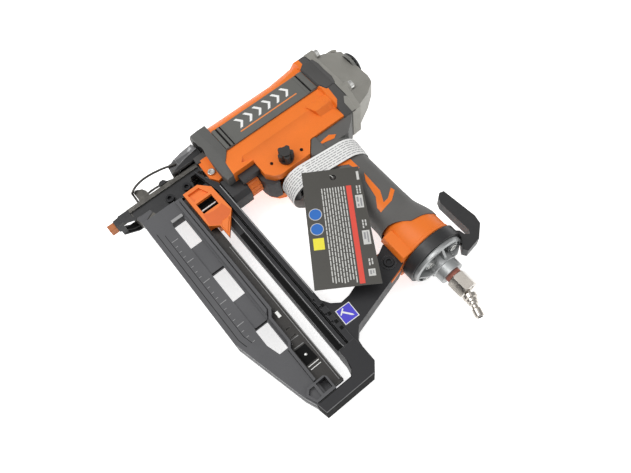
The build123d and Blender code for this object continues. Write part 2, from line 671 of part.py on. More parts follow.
def magazine_frame():
    """Outer rail with the nail-head slot, end block and the arm that ties it to the handle."""
    rail_side = ((88.6, -8), (94.5, -8), (100.4, -25.4), (104.8, -33.5), (104.8, -230), (88.6, -230))
    frame = plate(rail_side, -PLATE_TOP, 6)
    rear_side = ((99.6, -29), (104.8, -36), (104.8, -230), (99.6, -230))
    front_side = ((93.8, -8.5), (94.5, -8), (100.4, -25.4), (104.8, -33.5), (104.8, -40), (99.6, -40))
    frame += plate(rear_side, 5, 13) + plate(front_side, 5, 13)
    frame += block(94, 97.7, -230, -60, 5, 9)
    frame -= block(87, 96, -231, -7, -NAIL_GAP, NAIL_GAP)
    frame -= block(87, 101, -21.4, -7, -6.6, 6.6)
    end_side = ((48.9, -250.2), (83, -250.2), (86.5, -246.5), (88.6, -238), (88.6, -228), (104.8, -228),
                (105.8, -236), (105.8, -252.4), (99.6, -259.6), (50.9, -259.6))
    frame += plate(end_side, -13.5, 13.5)
    arm_side = ((104, -165), (104.8, -165), (104.9, -184), (109.8, -192), (116.9, -197.2), (126, -196.6),
                (133.6, -194.1), (152, -189.4), (170.2, -184.2), (178.2, -180), (180.6, -181), (180.6, -203.6),
                (174.4, -206.5), (161.8, -209.7), (115.7, -222), (107.3, -230.6), (105.8, -240), (104, -240))
    frame += plate(arm_side, -PLATE_TOP, PLATE_TOP)
    frame += rod_z(6.6, -12, 12, *ARM_SCREW)
    frame -= block(162.4, 186, -204.2, -181, -5.1, 5.1)
    frame -= rod_z(2.5, -15, 15, *ARM_SCREW)
    frame -= rod_z(5.0, 10.5, 15, *ARM_SCREW)
    for k in range(4):
        y = -180.5 - 8.2 * k
        frame -= block(98.4, 101.4, y - 3.2, y, 11, 15)
    return frame


def arm_screw():
    screw = rod_z(2.4, -11, 10.5, *ARM_SCREW) + rod_z(4.6, 10.5, 13.2, *ARM_SCREW)
    return screw - rod_z(2.2, 11.6, 14, *ARM_SCREW)


def pusher():
    """Spring-driven slide that feeds the nails, with its finger recess and spring window."""
    top_side = ((72, -22.8), (88, -22.8), (97.2, -33), (98.2, -64.5), (94.2, -69), (80.4, -86.5),
                (80.2, -72), (72, -65.6))
    top = plate(top_side, 9.6, 14)
    foot = plate(((80, -24), (87.8, -24), (87.8, -66), (80, -66)), -8, 9.7)
    shelf = plate(((72, -24), (88, -24), (88, -66), (72, -66)), 4.6, 9.7)
    body = top + shelf + foot
    body -= plate(((74.8, -26.4), (87, -26.4), (91.5, -36.6), (76, -36.6)), 11.5, 15)
    body -= block(75.6, 92.4, -52.6, -39.4, -5.6, 15)
    axle = rod_x(1.5, 75, 93, ROLL_Y)
    return body + axle + rod_x(1.3, 75, 93, ROLL_Y, 8.0)


def spring_roll():
    """Rolled-up constant-force spring on its drum."""
    return rod_x(5.2, 80.6, 87.2, ROLL_Y) - rod_x(1.55, 80, 88, ROLL_Y)


# ---------------------------------------------------------------- what is tied to the tool
def paper_band():
    """Paper strip wrapped round the grip and the trigger."""
    outer = rounded_bar_y(42.2, 21.9, 21.8, -10, 10, x=0)
    inner = rounded_bar_y(41.8, 21.5, 21.4, -11, 11, x=0)
    return Pos(190.6, -86, 0) * Rot(0, 0, -6) * (outer - inner)


def hang_tag():
    """Card tag with a punched hole."""
    card = plate(((164.7, -85.3), (207.5, -113.5), (149.9, -211.4), (103.4, -180.5)), TAG_Z, TAG_Z + 0.7)
    return card - rod_z(2.2, TAG_Z - 1, TAG_Z + 2, *TAG_HOLE)


NODES = {
    "main_housing": main_housing,
    "front_collar": front_collar,
    "rear_collar": rear_collar,
    "side_panel_left": side_panel,
    "side_panel_right": lambda: mirrored(side_panel()),
    "handle_grip": handle_grip,
    "cylinder_sleeve": cylinder_sleeve,
    "sleeve_seals": sleeve_seals,
    "bumper": bumper,
    "piston": piston,
    "piston_ring": piston_ring,
    "driver_blade": driver_blade,
    "head_valve": head_valve,
    "head_valve_spring": head_valve_spring,
    "cap_gasket": cap_gasket,
    "end_cap": end_cap,
    "cap_screws": cap_screws,
    "exhaust_deflector": exhaust_deflector,
    "exhaust_screw": exhaust_screw,
    "nosepiece": nosepiece,
    "nose_screw": nose_screw,
    "magazine_bolts": magazine_bolts,
    "nose_door": nose_door,
    "door_pin": door_pin,
    "latch_pin": latch_pin,
    "latch_lever": latch_lever,
    "latch_bail": latch_bail,
    "no_mar_pad": no_mar_pad,
    "work_contact": work_contact,
    "contact_stud": contact_stud,
    "contact_spring": contact_spring,
    "contact_guide": contact_guide,
    "depth_wheel": depth_wheel,
    "trigger_housing": trigger_housing,
    "mode_knob": mode_knob,
    "knob_clip": knob_clip,
    "trigger": trigger,
    "trigger_lever": trigger_lever,
    "trigger_lever_pin": trigger_lever_pin,
    "trigger_valve_body": trigger_valve_body,
    "valve_stem": valve_stem,
    "valve_spring": valve_spring,
    "inlet_gasket": inlet_gasket,
    "belt_hook": belt_hook,
    "inlet_cap": inlet_cap,
    "inlet_cap_screws": inlet_cap_screws,
    "inlet_stem": inlet_stem,
    "thread_sealant": thread_sealant,
    "swivel_nut": swivel_nut,
    "air_plug": air_plug,
    "magazine_plate_left": magazine_plate_left,
    "magazine_plate_right": magazine_plate_right,
    "magazine_spacer": magazine_spacer,
    "nail_channel": nail_channel,
    "magazine_frame": magazine_frame,
    "arm_screw": arm_screw,
    "pusher": pusher,
    "spring_roll": spring_roll,
    "paper_band": paper_band,
    "hang_tag": hang_tag,
}

os.makedirs("parts", exist_ok=True)
for name, make in NODES.items():
    export_step(make(), f"parts/{name}.step")
print(f"{len(NODES)} nodes written")
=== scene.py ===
import json
import random
from math import cos, sin, pi, radians, sqrt

import bmesh
import bpy
from mathutils import Matrix, Vector
from mathutils.bvhtree import BVHTree


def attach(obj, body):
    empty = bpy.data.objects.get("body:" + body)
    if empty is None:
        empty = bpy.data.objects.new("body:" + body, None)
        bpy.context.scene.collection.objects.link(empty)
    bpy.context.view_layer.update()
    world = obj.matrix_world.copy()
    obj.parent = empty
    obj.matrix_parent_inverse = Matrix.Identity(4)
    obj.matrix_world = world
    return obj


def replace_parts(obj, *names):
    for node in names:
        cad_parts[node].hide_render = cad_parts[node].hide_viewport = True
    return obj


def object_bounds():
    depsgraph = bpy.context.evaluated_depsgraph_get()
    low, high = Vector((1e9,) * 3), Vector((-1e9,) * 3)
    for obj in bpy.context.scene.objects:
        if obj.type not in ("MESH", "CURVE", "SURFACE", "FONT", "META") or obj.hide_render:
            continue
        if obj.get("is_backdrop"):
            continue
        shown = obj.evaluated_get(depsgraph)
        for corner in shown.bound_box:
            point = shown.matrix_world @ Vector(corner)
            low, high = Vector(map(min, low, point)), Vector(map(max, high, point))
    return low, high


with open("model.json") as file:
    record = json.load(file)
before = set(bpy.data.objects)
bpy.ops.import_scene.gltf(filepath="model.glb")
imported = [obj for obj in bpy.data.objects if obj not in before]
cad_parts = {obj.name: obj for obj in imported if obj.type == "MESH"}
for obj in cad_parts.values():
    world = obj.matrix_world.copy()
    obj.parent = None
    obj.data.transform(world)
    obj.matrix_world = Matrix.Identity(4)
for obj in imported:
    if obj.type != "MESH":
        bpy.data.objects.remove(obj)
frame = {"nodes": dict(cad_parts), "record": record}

for leftover in ("Cube", "Light", "Camera"):
    if leftover in bpy.data.objects:
        bpy.data.objects.remove(bpy.data.objects[leftover])
CAD_LOW, CAD_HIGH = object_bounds()
NODES = frame["nodes"]
MM = 0.001
TOOL = "tool_body"


# ------------------------------------------------------------------ node helpers
class Tree:
    """A material's node tree, with short calls for the nodes that the finishes share."""

    def __init__(self, name):
        self.material = bpy.data.materials.new(name)
        self.material.use_nodes = True
        self.tree = self.material.node_tree
        self.tree.nodes.clear()
        self.shader = self.tree.nodes.new("ShaderNodeBsdfPrincipled")
        out = self.tree.nodes.new("ShaderNodeOutputMaterial")
        self.join(self.shader.outputs[0], out.inputs["Surface"])
        self.where = self.tree.nodes.new("ShaderNodeTexCoord").outputs["Object"]

    def join(self, a, b):
        self.tree.links.new(a, b)

    def feed(self, socket, value):
        if isinstance(value, bpy.types.NodeSocket):
            self.join(value, socket)
        else:
            socket.default_value = value

    def noise(self, size_mm, detail=3.0, rough=0.5, stretch=(1, 1, 1), out="Fac"):
        place = self.tree.nodes.new("ShaderNodeMapping")
        self.join(self.where, place.inputs["Vector"])
        place.inputs["Scale"].default_value = stretch
        node = self.tree.nodes.new("ShaderNodeTexNoise")
        self.join(place.outputs[0], node.inputs["Vector"])
        node.inputs["Scale"].default_value = 1000.0 / size_mm
        node.inputs["Detail"].default_value = detail
        node.inputs["Roughness"].default_value = rough
        return node.outputs[out]

    def spread(self, value, low, high, a=0.3, b=0.7):
        node = self.tree.nodes.new("ShaderNodeMapRange")
        self.feed(node.inputs["Value"], value)
        for name, number in (("From Min", a), ("From Max", b), ("To Min", low), ("To Max", high)):
            node.inputs[name].default_value = number
        return node.outputs[0]

    def math(self, what, a, b=0.0):
        node = self.tree.nodes.new("ShaderNodeMath")
        node.operation = what
        self.feed(node.inputs[0], a)
        self.feed(node.inputs[1], b)
        return node.outputs[0]

    def mix(self, share, a, b, blend="MIX"):
        node = self.tree.nodes.new("ShaderNodeMix")
        node.data_type = "RGBA"
        node.blend_type = blend
        self.feed(node.inputs["Factor"], share)
        self.feed(node.inputs["A"], a)
        self.feed(node.inputs["B"], b)
        return node.outputs["Result"]

    def edge(self, radius_mm=0.7):
        """1 on rounded and sharp edges, 0 on open faces."""
        soft = self.tree.nodes.new("ShaderNodeBevel")
        soft.samples = 4
        soft.inputs["Radius"].default_value = radius_mm * MM
        flat = self.tree.nodes.new("ShaderNodeNewGeometry")
        dot = self.tree.nodes.new("ShaderNodeVectorMath")
        dot.operation = "DOT_PRODUCT"
        self.join(soft.outputs[0], dot.inputs[0])
        self.join(flat.outputs["Normal"], dot.inputs[1])
        return self.spread(dot.outputs["Value"], 1.0, 0.0, 0.8, 0.985)

    def bump(self, height, depth_mm, strength=1.0, under=None):
        node = self.tree.nodes.new("ShaderNodeBump")
        node.inputs["Strength"].default_value = strength
        node.inputs["Distance"].default_value = depth_mm * MM
        self.feed(node.inputs["Height"], height)
        if under is not None:
            self.join(under, node.inputs["Normal"])
        return node.outputs[0]


def rgb(colour, factor=1.0):
    return tuple(min(1.0, c * factor) for c in colour) + (1.0,)


def srgb(r, g, b):
    """Display values from 0 to 255 as a linear colour."""
    def line(v):
        v /= 255.0
        return v / 12.92 if v <= 0.04045 else ((v + 0.055) / 1.055) ** 2.4
    return (line(r), line(g), line(b))


def finish(name, colour, rough=0.5, metal=0.0, grain_mm=0.35, grain_deep=0.02, mottle=0.10, mottle_mm=14.0,
           wear_and_highlight=0.25, worn_and_highlight_colour=None, coat=0.0, brushed=None, sheen=0.0, specks=0.0, specular=0.5):
    """A surface with mottled colour, uneven gloss, fine grain in its bump and lighter edges, which are part
    wear and part painted highlight.
    """
    t = Tree(name)
    base = t.mix(t.spread(t.noise(mottle_mm, 4), 0.0, 1.0), rgb(colour, 1 - mottle), rgb(colour, 1 + mottle))
    fine = t.noise(grain_mm, 2, 0.6)
    base = t.mix(t.spread(fine, 0.0, 0.35), base, rgb(colour, 0.72))
    if specks:
        dust = t.spread(t.noise(1.1, 5, 0.75), 0.0, specks, 0.62, 0.72)
        base = t.mix(dust, base, rgb((0.75, 0.74, 0.72)))
    # lighter colour on the edges: partly wear, partly a painted highlight along the edges
    if wear_and_highlight:
        lighter = worn_and_highlight_colour or tuple(min(1.0, c * 1.35 + 0.03) for c in colour)
        scuff_and_highlight = t.math("MULTIPLY", t.edge(), t.spread(t.noise(3.0, 5, 0.7), 0.25, 1.0, 0.35, 0.6))
        base = t.mix(t.math("MULTIPLY", scuff_and_highlight, wear_and_highlight), base, rgb(lighter))
    t.join(base, t.shader.inputs["Base Color"])
    gloss = t.noise(mottle_mm * 0.5, 4, 0.6)
    t.join(t.spread(gloss, max(0.02, rough - 0.07), min(1.0, rough + 0.07)), t.shader.inputs["Roughness"])
    t.shader.inputs["Metallic"].default_value = metal
    t.shader.inputs["Coat Weight"].default_value = coat
    t.shader.inputs["Coat Roughness"].default_value = 0.18
    t.shader.inputs["Sheen Weight"].default_value = sheen
    t.shader.inputs["Specular IOR Level"].default_value = specular
    relief = fine if brushed is None else t.noise(0.5, 3, 0.6, stretch=brushed)
    t.join(t.bump(relief, grain_deep), t.shader.inputs["Normal"])
    return t.material


ORANGE = srgb(240, 122, 40)
MAT = {
    "housing_orange": finish("housing_orange", ORANGE, 0.42, 0.0, 0.5, 0.012, 0.05, 30, 0.35,
                             srgb(255, 172, 100), specular=0.3),
    "bumper_gray": finish("bumper_gray", srgb(92, 92, 90), 0.62, 0, 0.4, 0.03, 0.08, 18, 0.3, specular=0.3),
    "bumper_dark": finish("bumper_dark", srgb(78, 77, 76), 0.6, 0, 0.4, 0.03, 0.08, 18, 0.3, specular=0.3),
    "panel_gray": finish("panel_gray", srgb(96, 96, 92), 0.5, 0, 0.3, 0.02, 0.05, 20, 0.3),
    "grip_rubber": finish("grip_rubber", srgb(92, 91, 89), 0.68, 0, 0.5, 0.04, 0.08, 16, 0.2, sheen=0.1),
    "aluminium_bore": finish("aluminium_bore", (0.72, 0.72, 0.73), 0.2, 1.0, brushed=(30, 1, 1)),
    "seal_rubber": finish("seal_rubber", (0.03, 0.03, 0.03), 0.45),
    "piston_metal": finish("piston_metal", (0.62, 0.62, 0.62), 0.3, 1.0, brushed=(30, 1, 1)),
    "ring_plastic": finish("ring_plastic", (0.05, 0.05, 0.05), 0.4),
    "steel_hard": finish("steel_hard", (0.45, 0.45, 0.46), 0.3, 1.0, brushed=(1, 20, 20)),
    "valve_plastic": finish("valve_plastic", (0.7, 0.7, 0.66), 0.4),
    "steel_spring": finish("steel_spring", (0.6, 0.6, 0.6), 0.3, 1.0),
    "cap_cast": finish("cap_cast", srgb(150, 148, 141), 0.48, 0.35, 0.6, 0.05, 0.07, 12, 0.5,
                       srgb(196, 194, 188), specks=0.15),
    "screw_silver": finish("screw_silver", (0.62, 0.62, 0.6), 0.28, 1.0, 0.4, 0.01),
    "deflector_black": finish("deflector_black", srgb(42, 42, 43), 0.5),
    "screw_black": finish("screw_black", srgb(38, 38, 40), 0.35, 0.6),
    "steel_nose": finish("steel_nose", srgb(92, 90, 86), 0.38, 0.9, 0.5, 0.02, 0.2, 8, 0.6,
                         srgb(190, 188, 182)),
    "latch_gray": finish("latch_gray", srgb(88, 88, 89), 0.28, 0.1, 0.5, 0.008, 0.06, 16, 0.4,
                         srgb(150, 150, 150), coat=0.4),
    "steel_wire": finish("steel_wire", srgb(84, 82, 79), 0.32, 1.0, 0.4, 0.01),
    "pad_rubber": finish("pad_rubber", srgb(176, 100, 44), 0.5, 0, 0.4, 0.02, 0.15, 5, 0.3),
    "steel_black": finish("steel_black", srgb(48, 48, 49), 0.4, 0.5, wear_and_highlight=0.5, worn_and_highlight_colour=srgb(140, 138, 134)),
    "housing_black": finish("housing_black", srgb(48, 48, 49), 0.55),
    "wheel_orange": finish("wheel_orange", ORANGE, 0.5, 0, 0.4, 0.015, 0.05, 12, 0.4, srgb(250, 165, 100)),
    "knob_black": finish("knob_black", srgb(45, 43, 41), 0.5, wear_and_highlight=0.4),
    "trigger_black": finish("trigger_black", srgb(38, 38, 39), 0.5),
    "hook_black": finish("hook_black", srgb(38, 38, 39), 0.42, 0, 0.4, 0.02, 0.08, 14, 0.35),
    "inlet_cast": finish("inlet_cast", srgb(168, 170, 170), 0.36, 0.75, 0.6, 0.05, 0.08, 9, 0.5,
                         srgb(215, 216, 216), specks=0.1),
    "steel_chrome": finish("steel_chrome", srgb(190, 184, 176), 0.14, 1.0, 0.6, 0.006, 0.08, 6, 0.3,
                           srgb(225, 222, 216)),
    "sealant_red": finish("sealant_red", srgb(170, 104, 88), 0.7, 0, 0.5, 0.08, 0.25, 2, 0.0),
    "magazine_gray": finish("magazine_gray", srgb(86, 86, 88), 0.5, 0.15, 0.4, 0.02, 0.07, 25, 0.35,
                            specular=0.3),
    "steel_dark": finish("steel_dark", srgb(40, 37, 34), 0.42, 0.2, wear_and_highlight=0.4, worn_and_highlight_colour=srgb(150, 148, 144)),
    "magazine_black": finish("magazine_black", srgb(46, 46, 48), 0.45, 0, 0.4, 0.03, 0.08, 20, 0.6,
                             srgb(130, 130, 132), specular=0.25),
    "pusher_orange": finish("pusher_orange", ORANGE, 0.45, 0, 0.4, 0.012, 0.05, 14, 0.4, srgb(250, 165, 100)),
    "paper_white": finish("paper_white", srgb(238, 238, 236), 0.65, 0, 0.5, 0.02, 0.02, 14, 0.0),
    "tag_card": finish("tag_card", srgb(70, 68, 63), 0.42, 0, 0.5, 0.008, 0.04, 30, 0.3, srgb(120, 118, 114)),
    "white_print": finish("white_print", srgb(240, 240, 238), 0.5, 0, 0.3, 0.008, 0.02, 12, 0.0),
    "tag_print": finish("tag_print", srgb(206, 206, 202), 0.5, 0, 0.3, 0.008, 0.02, 12, 0.0),
    "red_print": finish("red_print", srgb(226, 74, 58), 0.5, 0, 0.3, 0.008, 0.03, 12, 0.0),
    "blue_print": finish("blue_print", srgb(30, 105, 190), 0.5, 0, 0.3, 0.008, 0.03, 12, 0.0),
    "yellow_print": finish("yellow_print", srgb(238, 226, 60), 0.5, 0, 0.3, 0.008, 0.03, 12, 0.0),
    "sticker_blue": finish("sticker_blue", srgb(70, 62, 205), 0.35, 0, 0.3, 0.006, 0.03, 12, 0.0),
    "gray_print": finish("gray_print", srgb(150, 150, 152), 0.6, 0, 0.3, 0.008, 0.04, 8, 0.0),
    # near-black: real grooves, seams and print, and also painted shade in holes, recesses and shaded sides
    "dark_mark_and_painted_shade": finish("dark_mark_and_painted_shade", srgb(26, 26, 26), 0.85, 0, 0.3, 0.008, 0.04, 8, 0.0, specular=0.1),
    # light gray: printed ticks and lines, and also painted highlights along the rail edges
    "light_mark_and_painted_highlight": finish("light_mark_and_painted_highlight", srgb(150, 150, 150), 0.5, 0.2, 0.3, 0.008, 0.04, 8, 0.0),
    "orange_print": finish("orange_print", srgb(238, 140, 70), 0.5, 0, 0.3, 0.008, 0.04, 8, 0.0),
    "mesh_gray": finish("mesh_gray", srgb(150, 150, 145), 0.5, 0.3, 0.8, 0.12, 0.2, 2, 0.0),
    "scoop_gray": finish("scoop_gray", srgb(122, 122, 123), 0.25, 0.2, 0.5, 0.006, 0.06, 8, 0.3, coat=0.4),
    # darker orange: painted shade for the pusher's sloped facet
    "orange_painted_shade": finish("orange_painted_shade", srgb(222, 102, 30), 0.45, 0, 0.4, 0.012, 0.05, 14, 0.2),
    "tie_clear": finish("tie_clear", srgb(205, 205, 200), 0.25, 0, 0.5, 0.01, 0.05, 6, 0.0),
}


# ------------------------------------------------------------------ CAD nodes: edges and finish
def crease_group():
    """Geometry nodes: joins the import's split corners, then shades smooth up to an angle."""
    g = bpy.data.node_groups.new("crease", "GeometryNodeTree")
    g.interface.new_socket("Geometry", in_out="INPUT", socket_type="NodeSocketGeometry")
    g.interface.new_socket("Geometry", in_out="OUTPUT", socket_type="NodeSocketGeometry")
    start = g.nodes.new("NodeGroupInput")
    end = g.nodes.new("NodeGroupOutput")
    bare = g.nodes.new("GeometryNodeRemoveAttribute")
    bare.inputs["Name"].default_value = "custom_normal"
    merge = g.nodes.new("GeometryNodeMergeByDistance")
    merge.inputs["Distance"].default_value = 0.002 * MM
    angle = g.nodes.new("GeometryNodeInputMeshEdgeAngle")
    limit = g.nodes.new("FunctionNodeCompare")
    limit.data_type = "FLOAT"
    limit.operation = "LESS_THAN"
    limit.inputs["B"].default_value = radians(28)
    smooth = g.nodes.new("GeometryNodeSetShadeSmooth")
    smooth.domain = "EDGE"
    faces = g.nodes.new("GeometryNodeSetShadeSmooth")
    faces.domain = "FACE"
    faces.inputs["Shade Smooth"].default_value = True
    g.links.new(start.outputs[0], bare.inputs["Geometry"])
    g.links.new(bare.outputs[0], merge.inputs["Geometry"])
    g.links.new(merge.outputs[0], faces.inputs["Geometry"])
    g.links.new(faces.outputs[0], smooth.inputs["Geometry"])
    g.links.new(angle.outputs["Unsigned Angle"], limit.inputs["A"])
    g.links.new(limit.outputs[0], smooth.inputs["Shade Smooth"])
    g.links.new(smooth.outputs[0], end.inputs[0])
    return g


CREASE = crease_group()


def soften(obj, width_mm, segments=2, angle=28):
    """Rounds the sharp edges of a mesh with modifiers only."""
    first = obj.modifiers.new("crease", "NODES")
    first.node_group = CREASE
    if width_mm:
        flat = obj.modifiers.new("flat", "DECIMATE")
        flat.decimate_type = "DISSOLVE"
        flat.angle_limit = radians(0.4)
        bevel = obj.modifiers.new("bevel", "BEVEL")
        bevel.width = width_mm * MM
        bevel.segments = segments
        bevel.limit_method = "ANGLE"
        bevel.angle_limit = radians(angle)
        bevel.harden_normals = True
        bevel.use_clamp_overlap = True
    return obj


EDGES = {
    "main_housing": 0.7, "front_collar": 0.8, "rear_collar": 0.8, "side_panel_left": 0.4,
    "side_panel_right": 0.4, "handle_grip": 1.0, "end_cap": 0.8, "cap_screws": 0.3, "exhaust_deflector": 0.5,
    "exhaust_screw": 0.3, "nosepiece": 0.4, "nose_screw": 0.4, "magazine_bolts": 0.3, "nose_door": 0.5,
    "latch_lever": 1.0, "no_mar_pad": 1.4, "work_contact": 0.3, "contact_guide": 0.8, "depth_wheel": 0.5,
    "trigger_housing": 0.6, "mode_knob": 0.9, "knob_clip": 0.1, "trigger": 1.0, "trigger_lever": 0.3,
    "belt_hook": 2.5, "inlet_cap": 0.4, "inlet_cap_screws": 0.3, "swivel_nut": 0.5, "air_plug": 0.3,
    "magazine_plate_left": 0.35, "magazine_plate_right": 0.35, "nail_channel": 0.25, "magazine_frame": 0.6,
    "arm_screw": 0.4, "pusher": 0.6, "cap_gasket": 0.2, "inlet_gasket": 0.2,
}
SLOT_OF = {s["node"]: s["material_slot"] for s in frame["record"]["subparts"]}
for name, obj in NODES.items():
    obj.data.materials.clear()
    obj.data.materials.append(MAT[SLOT_OF[name]])
    width = EDGES.get(name, 0)
    soften(obj, width, 4 if width > 1.2 else 2)

# ------------------------------------------------------------------ making detail pieces
def add_piece(name, work, look, body=TOOL, bevel=0.0, segments=2, angle=28):
    """Turns a bmesh in millimetres into a named piece that rides on a CAD body."""
    bmesh.ops.recalc_face_normals(work, faces=work.faces)
    bmesh.ops.scale(work, vec=(MM, MM, MM), verts=work.verts)
    mesh = bpy.data.meshes.new(name)
    work.to_mesh(mesh)
    work.free()
    obj = bpy.data.objects.new(name, mesh)
    bpy.context.scene.collection.objects.link(obj)
    mesh.materials.append(MAT[look])
    soften(obj, bevel, segments, angle)
    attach(obj, body)
    return obj


def shell(work, low, high):
    """Closed prism between two loops of vertices."""
    count = len(low)
    work.faces.new(low[::-1])
    work.faces.new(high)
    for k in range(count):
        work.faces.new((low[k], low[(k + 1) % count], high[(k + 1) % count], high[k]))


def prism(work, outline, z0, z1, place=Matrix()):
    """Polygon in X, Y made thick from z0 to z1, then put where the matrix says."""
    low = [work.verts.new(place @ Vector((x, y, z0))) for x, y in outline]
    high = [work.verts.new(place @ Vector((x, y, z1))) for x, y in outline]
    shell(work, low, high)


def slab(work, x0, x1, y0, y1, z0, z1, place=Matrix()):
    prism(work, ((x0, y0), (x1, y0), (x1, y1), (x0, y1)), z0, z1, place)


def taper(work, low, high, z0, z1, place=Matrix()):
    """Closed shape between a lower and an upper outline with the same number of corners."""
    first = [work.verts.new(place @ Vector((x, y, z0))) for x, y in low]
    last = [work.verts.new(place @ Vector((x, y, z1))) for x, y in high]
    shell(work, first, last)


def lathe(work, profile, place=Matrix(), sides=40):
    """Turned shape about the local Z of a matrix; profile is (radius, height)."""
    rings = []
    for radius, height in profile:
        count = 1 if radius < 1e-6 else sides
        turns = [2 * pi * k / count for k in range(count)]
        rings.append([work.verts.new(place @ Vector((radius * cos(t), radius * sin(t), height)))
                      for t in turns])
    for a, b in zip(rings, rings[1:]):
        for k in range(sides):
            ring = [a[k % len(a)], a[(k + 1) % len(a)], b[(k + 1) % len(b)], b[k % len(b)]]
            corners = list(dict.fromkeys(ring))
            if len(corners) > 2:
                work.faces.new(corners)


def tube(work, points, radius, sides=12):
    """Round wire through a list of points, with flat ends."""
    points = [Vector(p) for p in points]
    across = None
    rings = []
    for k, point in enumerate(points):
        ahead = (points[min(k + 1, len(points) - 1)] - points[max(k - 1, 0)]).normalized()
        if across is None:
            across = ahead.orthogonal().normalized()
        across = (across - ahead * across.dot(ahead)).normalized()
        other = ahead.cross(across)
        turns = [2 * pi * i / sides for i in range(sides)]
        rings.append([work.verts.new(point + (across * cos(t) + other * sin(t)) * radius) for t in turns])
    for a, b in zip(rings, rings[1:]):
        for i in range(sides):
            work.faces.new((a[i], a[(i + 1) % sides], b[(i + 1) % sides], b[i]))
    work.faces.new(rings[0][::-1])
    work.faces.new(rings[-1])


def curve_points(points, steps=8):
    """Smooth run of points through the given ones."""
    points = [Vector(p) for p in points]
    run = []
    for k in range(len(points) - 1):
        before = points[max(k - 1, 0)]
        a, b = points[k], points[k + 1]
        after = points[min(k + 2, len(points) - 1)]
        for i in range(steps):
            t = i / steps
            run.append(0.5 * ((2 * a) + (b - before) * t + (2 * before - 5 * a + 4 * b - after) * t * t
                              + (3 * a - before - 3 * b + after) * t ** 3))
    return run + [points[-1]]


def ground(names):
    """Search tree over CAD nodes, to lay thin pieces on them."""
    work = bmesh.new()
    for name in names:
        work.from_mesh(NODES[name].data)
    tree = BVHTree.FromBMesh(work)
    work.free()
    return tree


GROUND = {}


def lay(work, outline, on, lift, thick, step=1.5, side=1):
    """Adds a thin closed skin that follows the CAD surface under a polygon in X, Y."""
    if on not in GROUND:
        GROUND[on] = ground(on)
    sheet = bmesh.new()
    sheet.faces.new([sheet.verts.new((x, y, 0)) for x, y in outline])
    for axis in (0, 1):
        values = [p[axis] for p in outline]
        normal = Vector((1 - axis, axis, 0))
        spot = min(values) + step
        while spot < max(values) - 0.05:
            geometry = sheet.verts[:] + sheet.edges[:] + sheet.faces[:]
            bmesh.ops.bisect_plane(sheet, geom=geometry, plane_co=normal * spot, plane_no=normal, dist=1e-5)
            spot += step
    bmesh.ops.triangulate(sheet, faces=sheet.faces)
    top, under = {}, {}
    last = 0.0
    for v in sheet.verts:
        start = Vector((v.co.x * MM, v.co.y * MM, 0.06 * side))
        hit = GROUND[on].ray_cast(start, Vector((0, 0, -side)))[0]
        last = hit.z / MM if hit is not None else last
        top[v] = work.verts.new((v.co.x, v.co.y, last + lift * side))
        under[v] = work.verts.new((v.co.x, v.co.y, last + (lift - thick) * side))
    for face in sheet.faces:
        work.faces.new([top[v] for v in face.verts])
        work.faces.new([under[v] for v in reversed(face.verts)])
    for edge in sheet.edges:
        if len(edge.link_faces) == 1:
            a, b = edge.verts
            work.faces.new((top[a], top[b], under[b], under[a]))
    sheet.free()


def skins(name, outlines, on, look, lift=0.2, thick=0.6, step=1.5, body=TOOL, sides=(1,), bevel=0.0):
    """One piece made of thin skins over the CAD surface, on one or both sides of the tool."""
    work = bmesh.new()
    for side in sides:
        for outline in outlines:
            lay(work, outline, on, lift, thick, step, side)
    return add_piece(name, work, look, body, bevel)


BOTH = (1, -1)
ACROSS = Matrix.Rotation(radians(90), 4, "Y")       # local Z turned to +X
DOWN_Y = Matrix.Rotation(radians(90), 4, "X")       # local Z turned to -Y


def mirror_z(place):
    return Matrix.Diagonal((1, 1, -1, 1)) @ place


# ------------------------------------------------------------------ side panels
PANEL_TOP = 28.1
for side, label in ((1, "left"), (-1, "right")):
    flip = Matrix() if side > 0 else mirror_z(Matrix())
    marks = bmesh.new()
    for k in range(6):
        x = 152.0 + 10.8 * k
        prism(marks, ((x, -8.3), (x + 3.0, -8.3), (x + 7.4, -2.3), (x + 3.0, 3.7), (x, 3.7), (x + 4.4, -2.3)),
              PANEL_TOP - 0.3, PANEL_TOP + 0.18, flip)
    add_piece("panel_chevrons_" + label, marks, "white_print", bevel=0.06)
    line = bmesh.new()
    slab(line, 150, 216.5, -12.2, -10.9, PANEL_TOP - 0.3, PANEL_TOP + 0.18, flip)
    add_piece("panel_underline_" + label, line, "orange_print", bevel=0.06)
    ribs = bmesh.new()
    for x0, x1, high in ((128.4, 132.2, 0.9), (134.2, 136.6, 0.9), (138.2, 139.6, 0.5), (224.6, 227.6, 0.5),
                         (229.4, 235.6, 0.9)):
        slab(ribs, x0, x1, -19.0, 6.8, PANEL_TOP - 0.5, PANEL_TOP + high, flip)
    add_piece("panel_ribs_" + label, ribs, "panel_gray", bevel=0.4)
    lines = bmesh.new()
    for x0, x1 in ((132.4, 134.0), (136.8, 138.0), (227.8, 229.2)):
        slab(lines, x0, x1, -19.0, 6.8, PANEL_TOP - 0.4, PANEL_TOP + 0.12, flip)
    add_piece("panel_grooves_" + label, lines, "dark_mark_and_painted_shade", bevel=0.05)

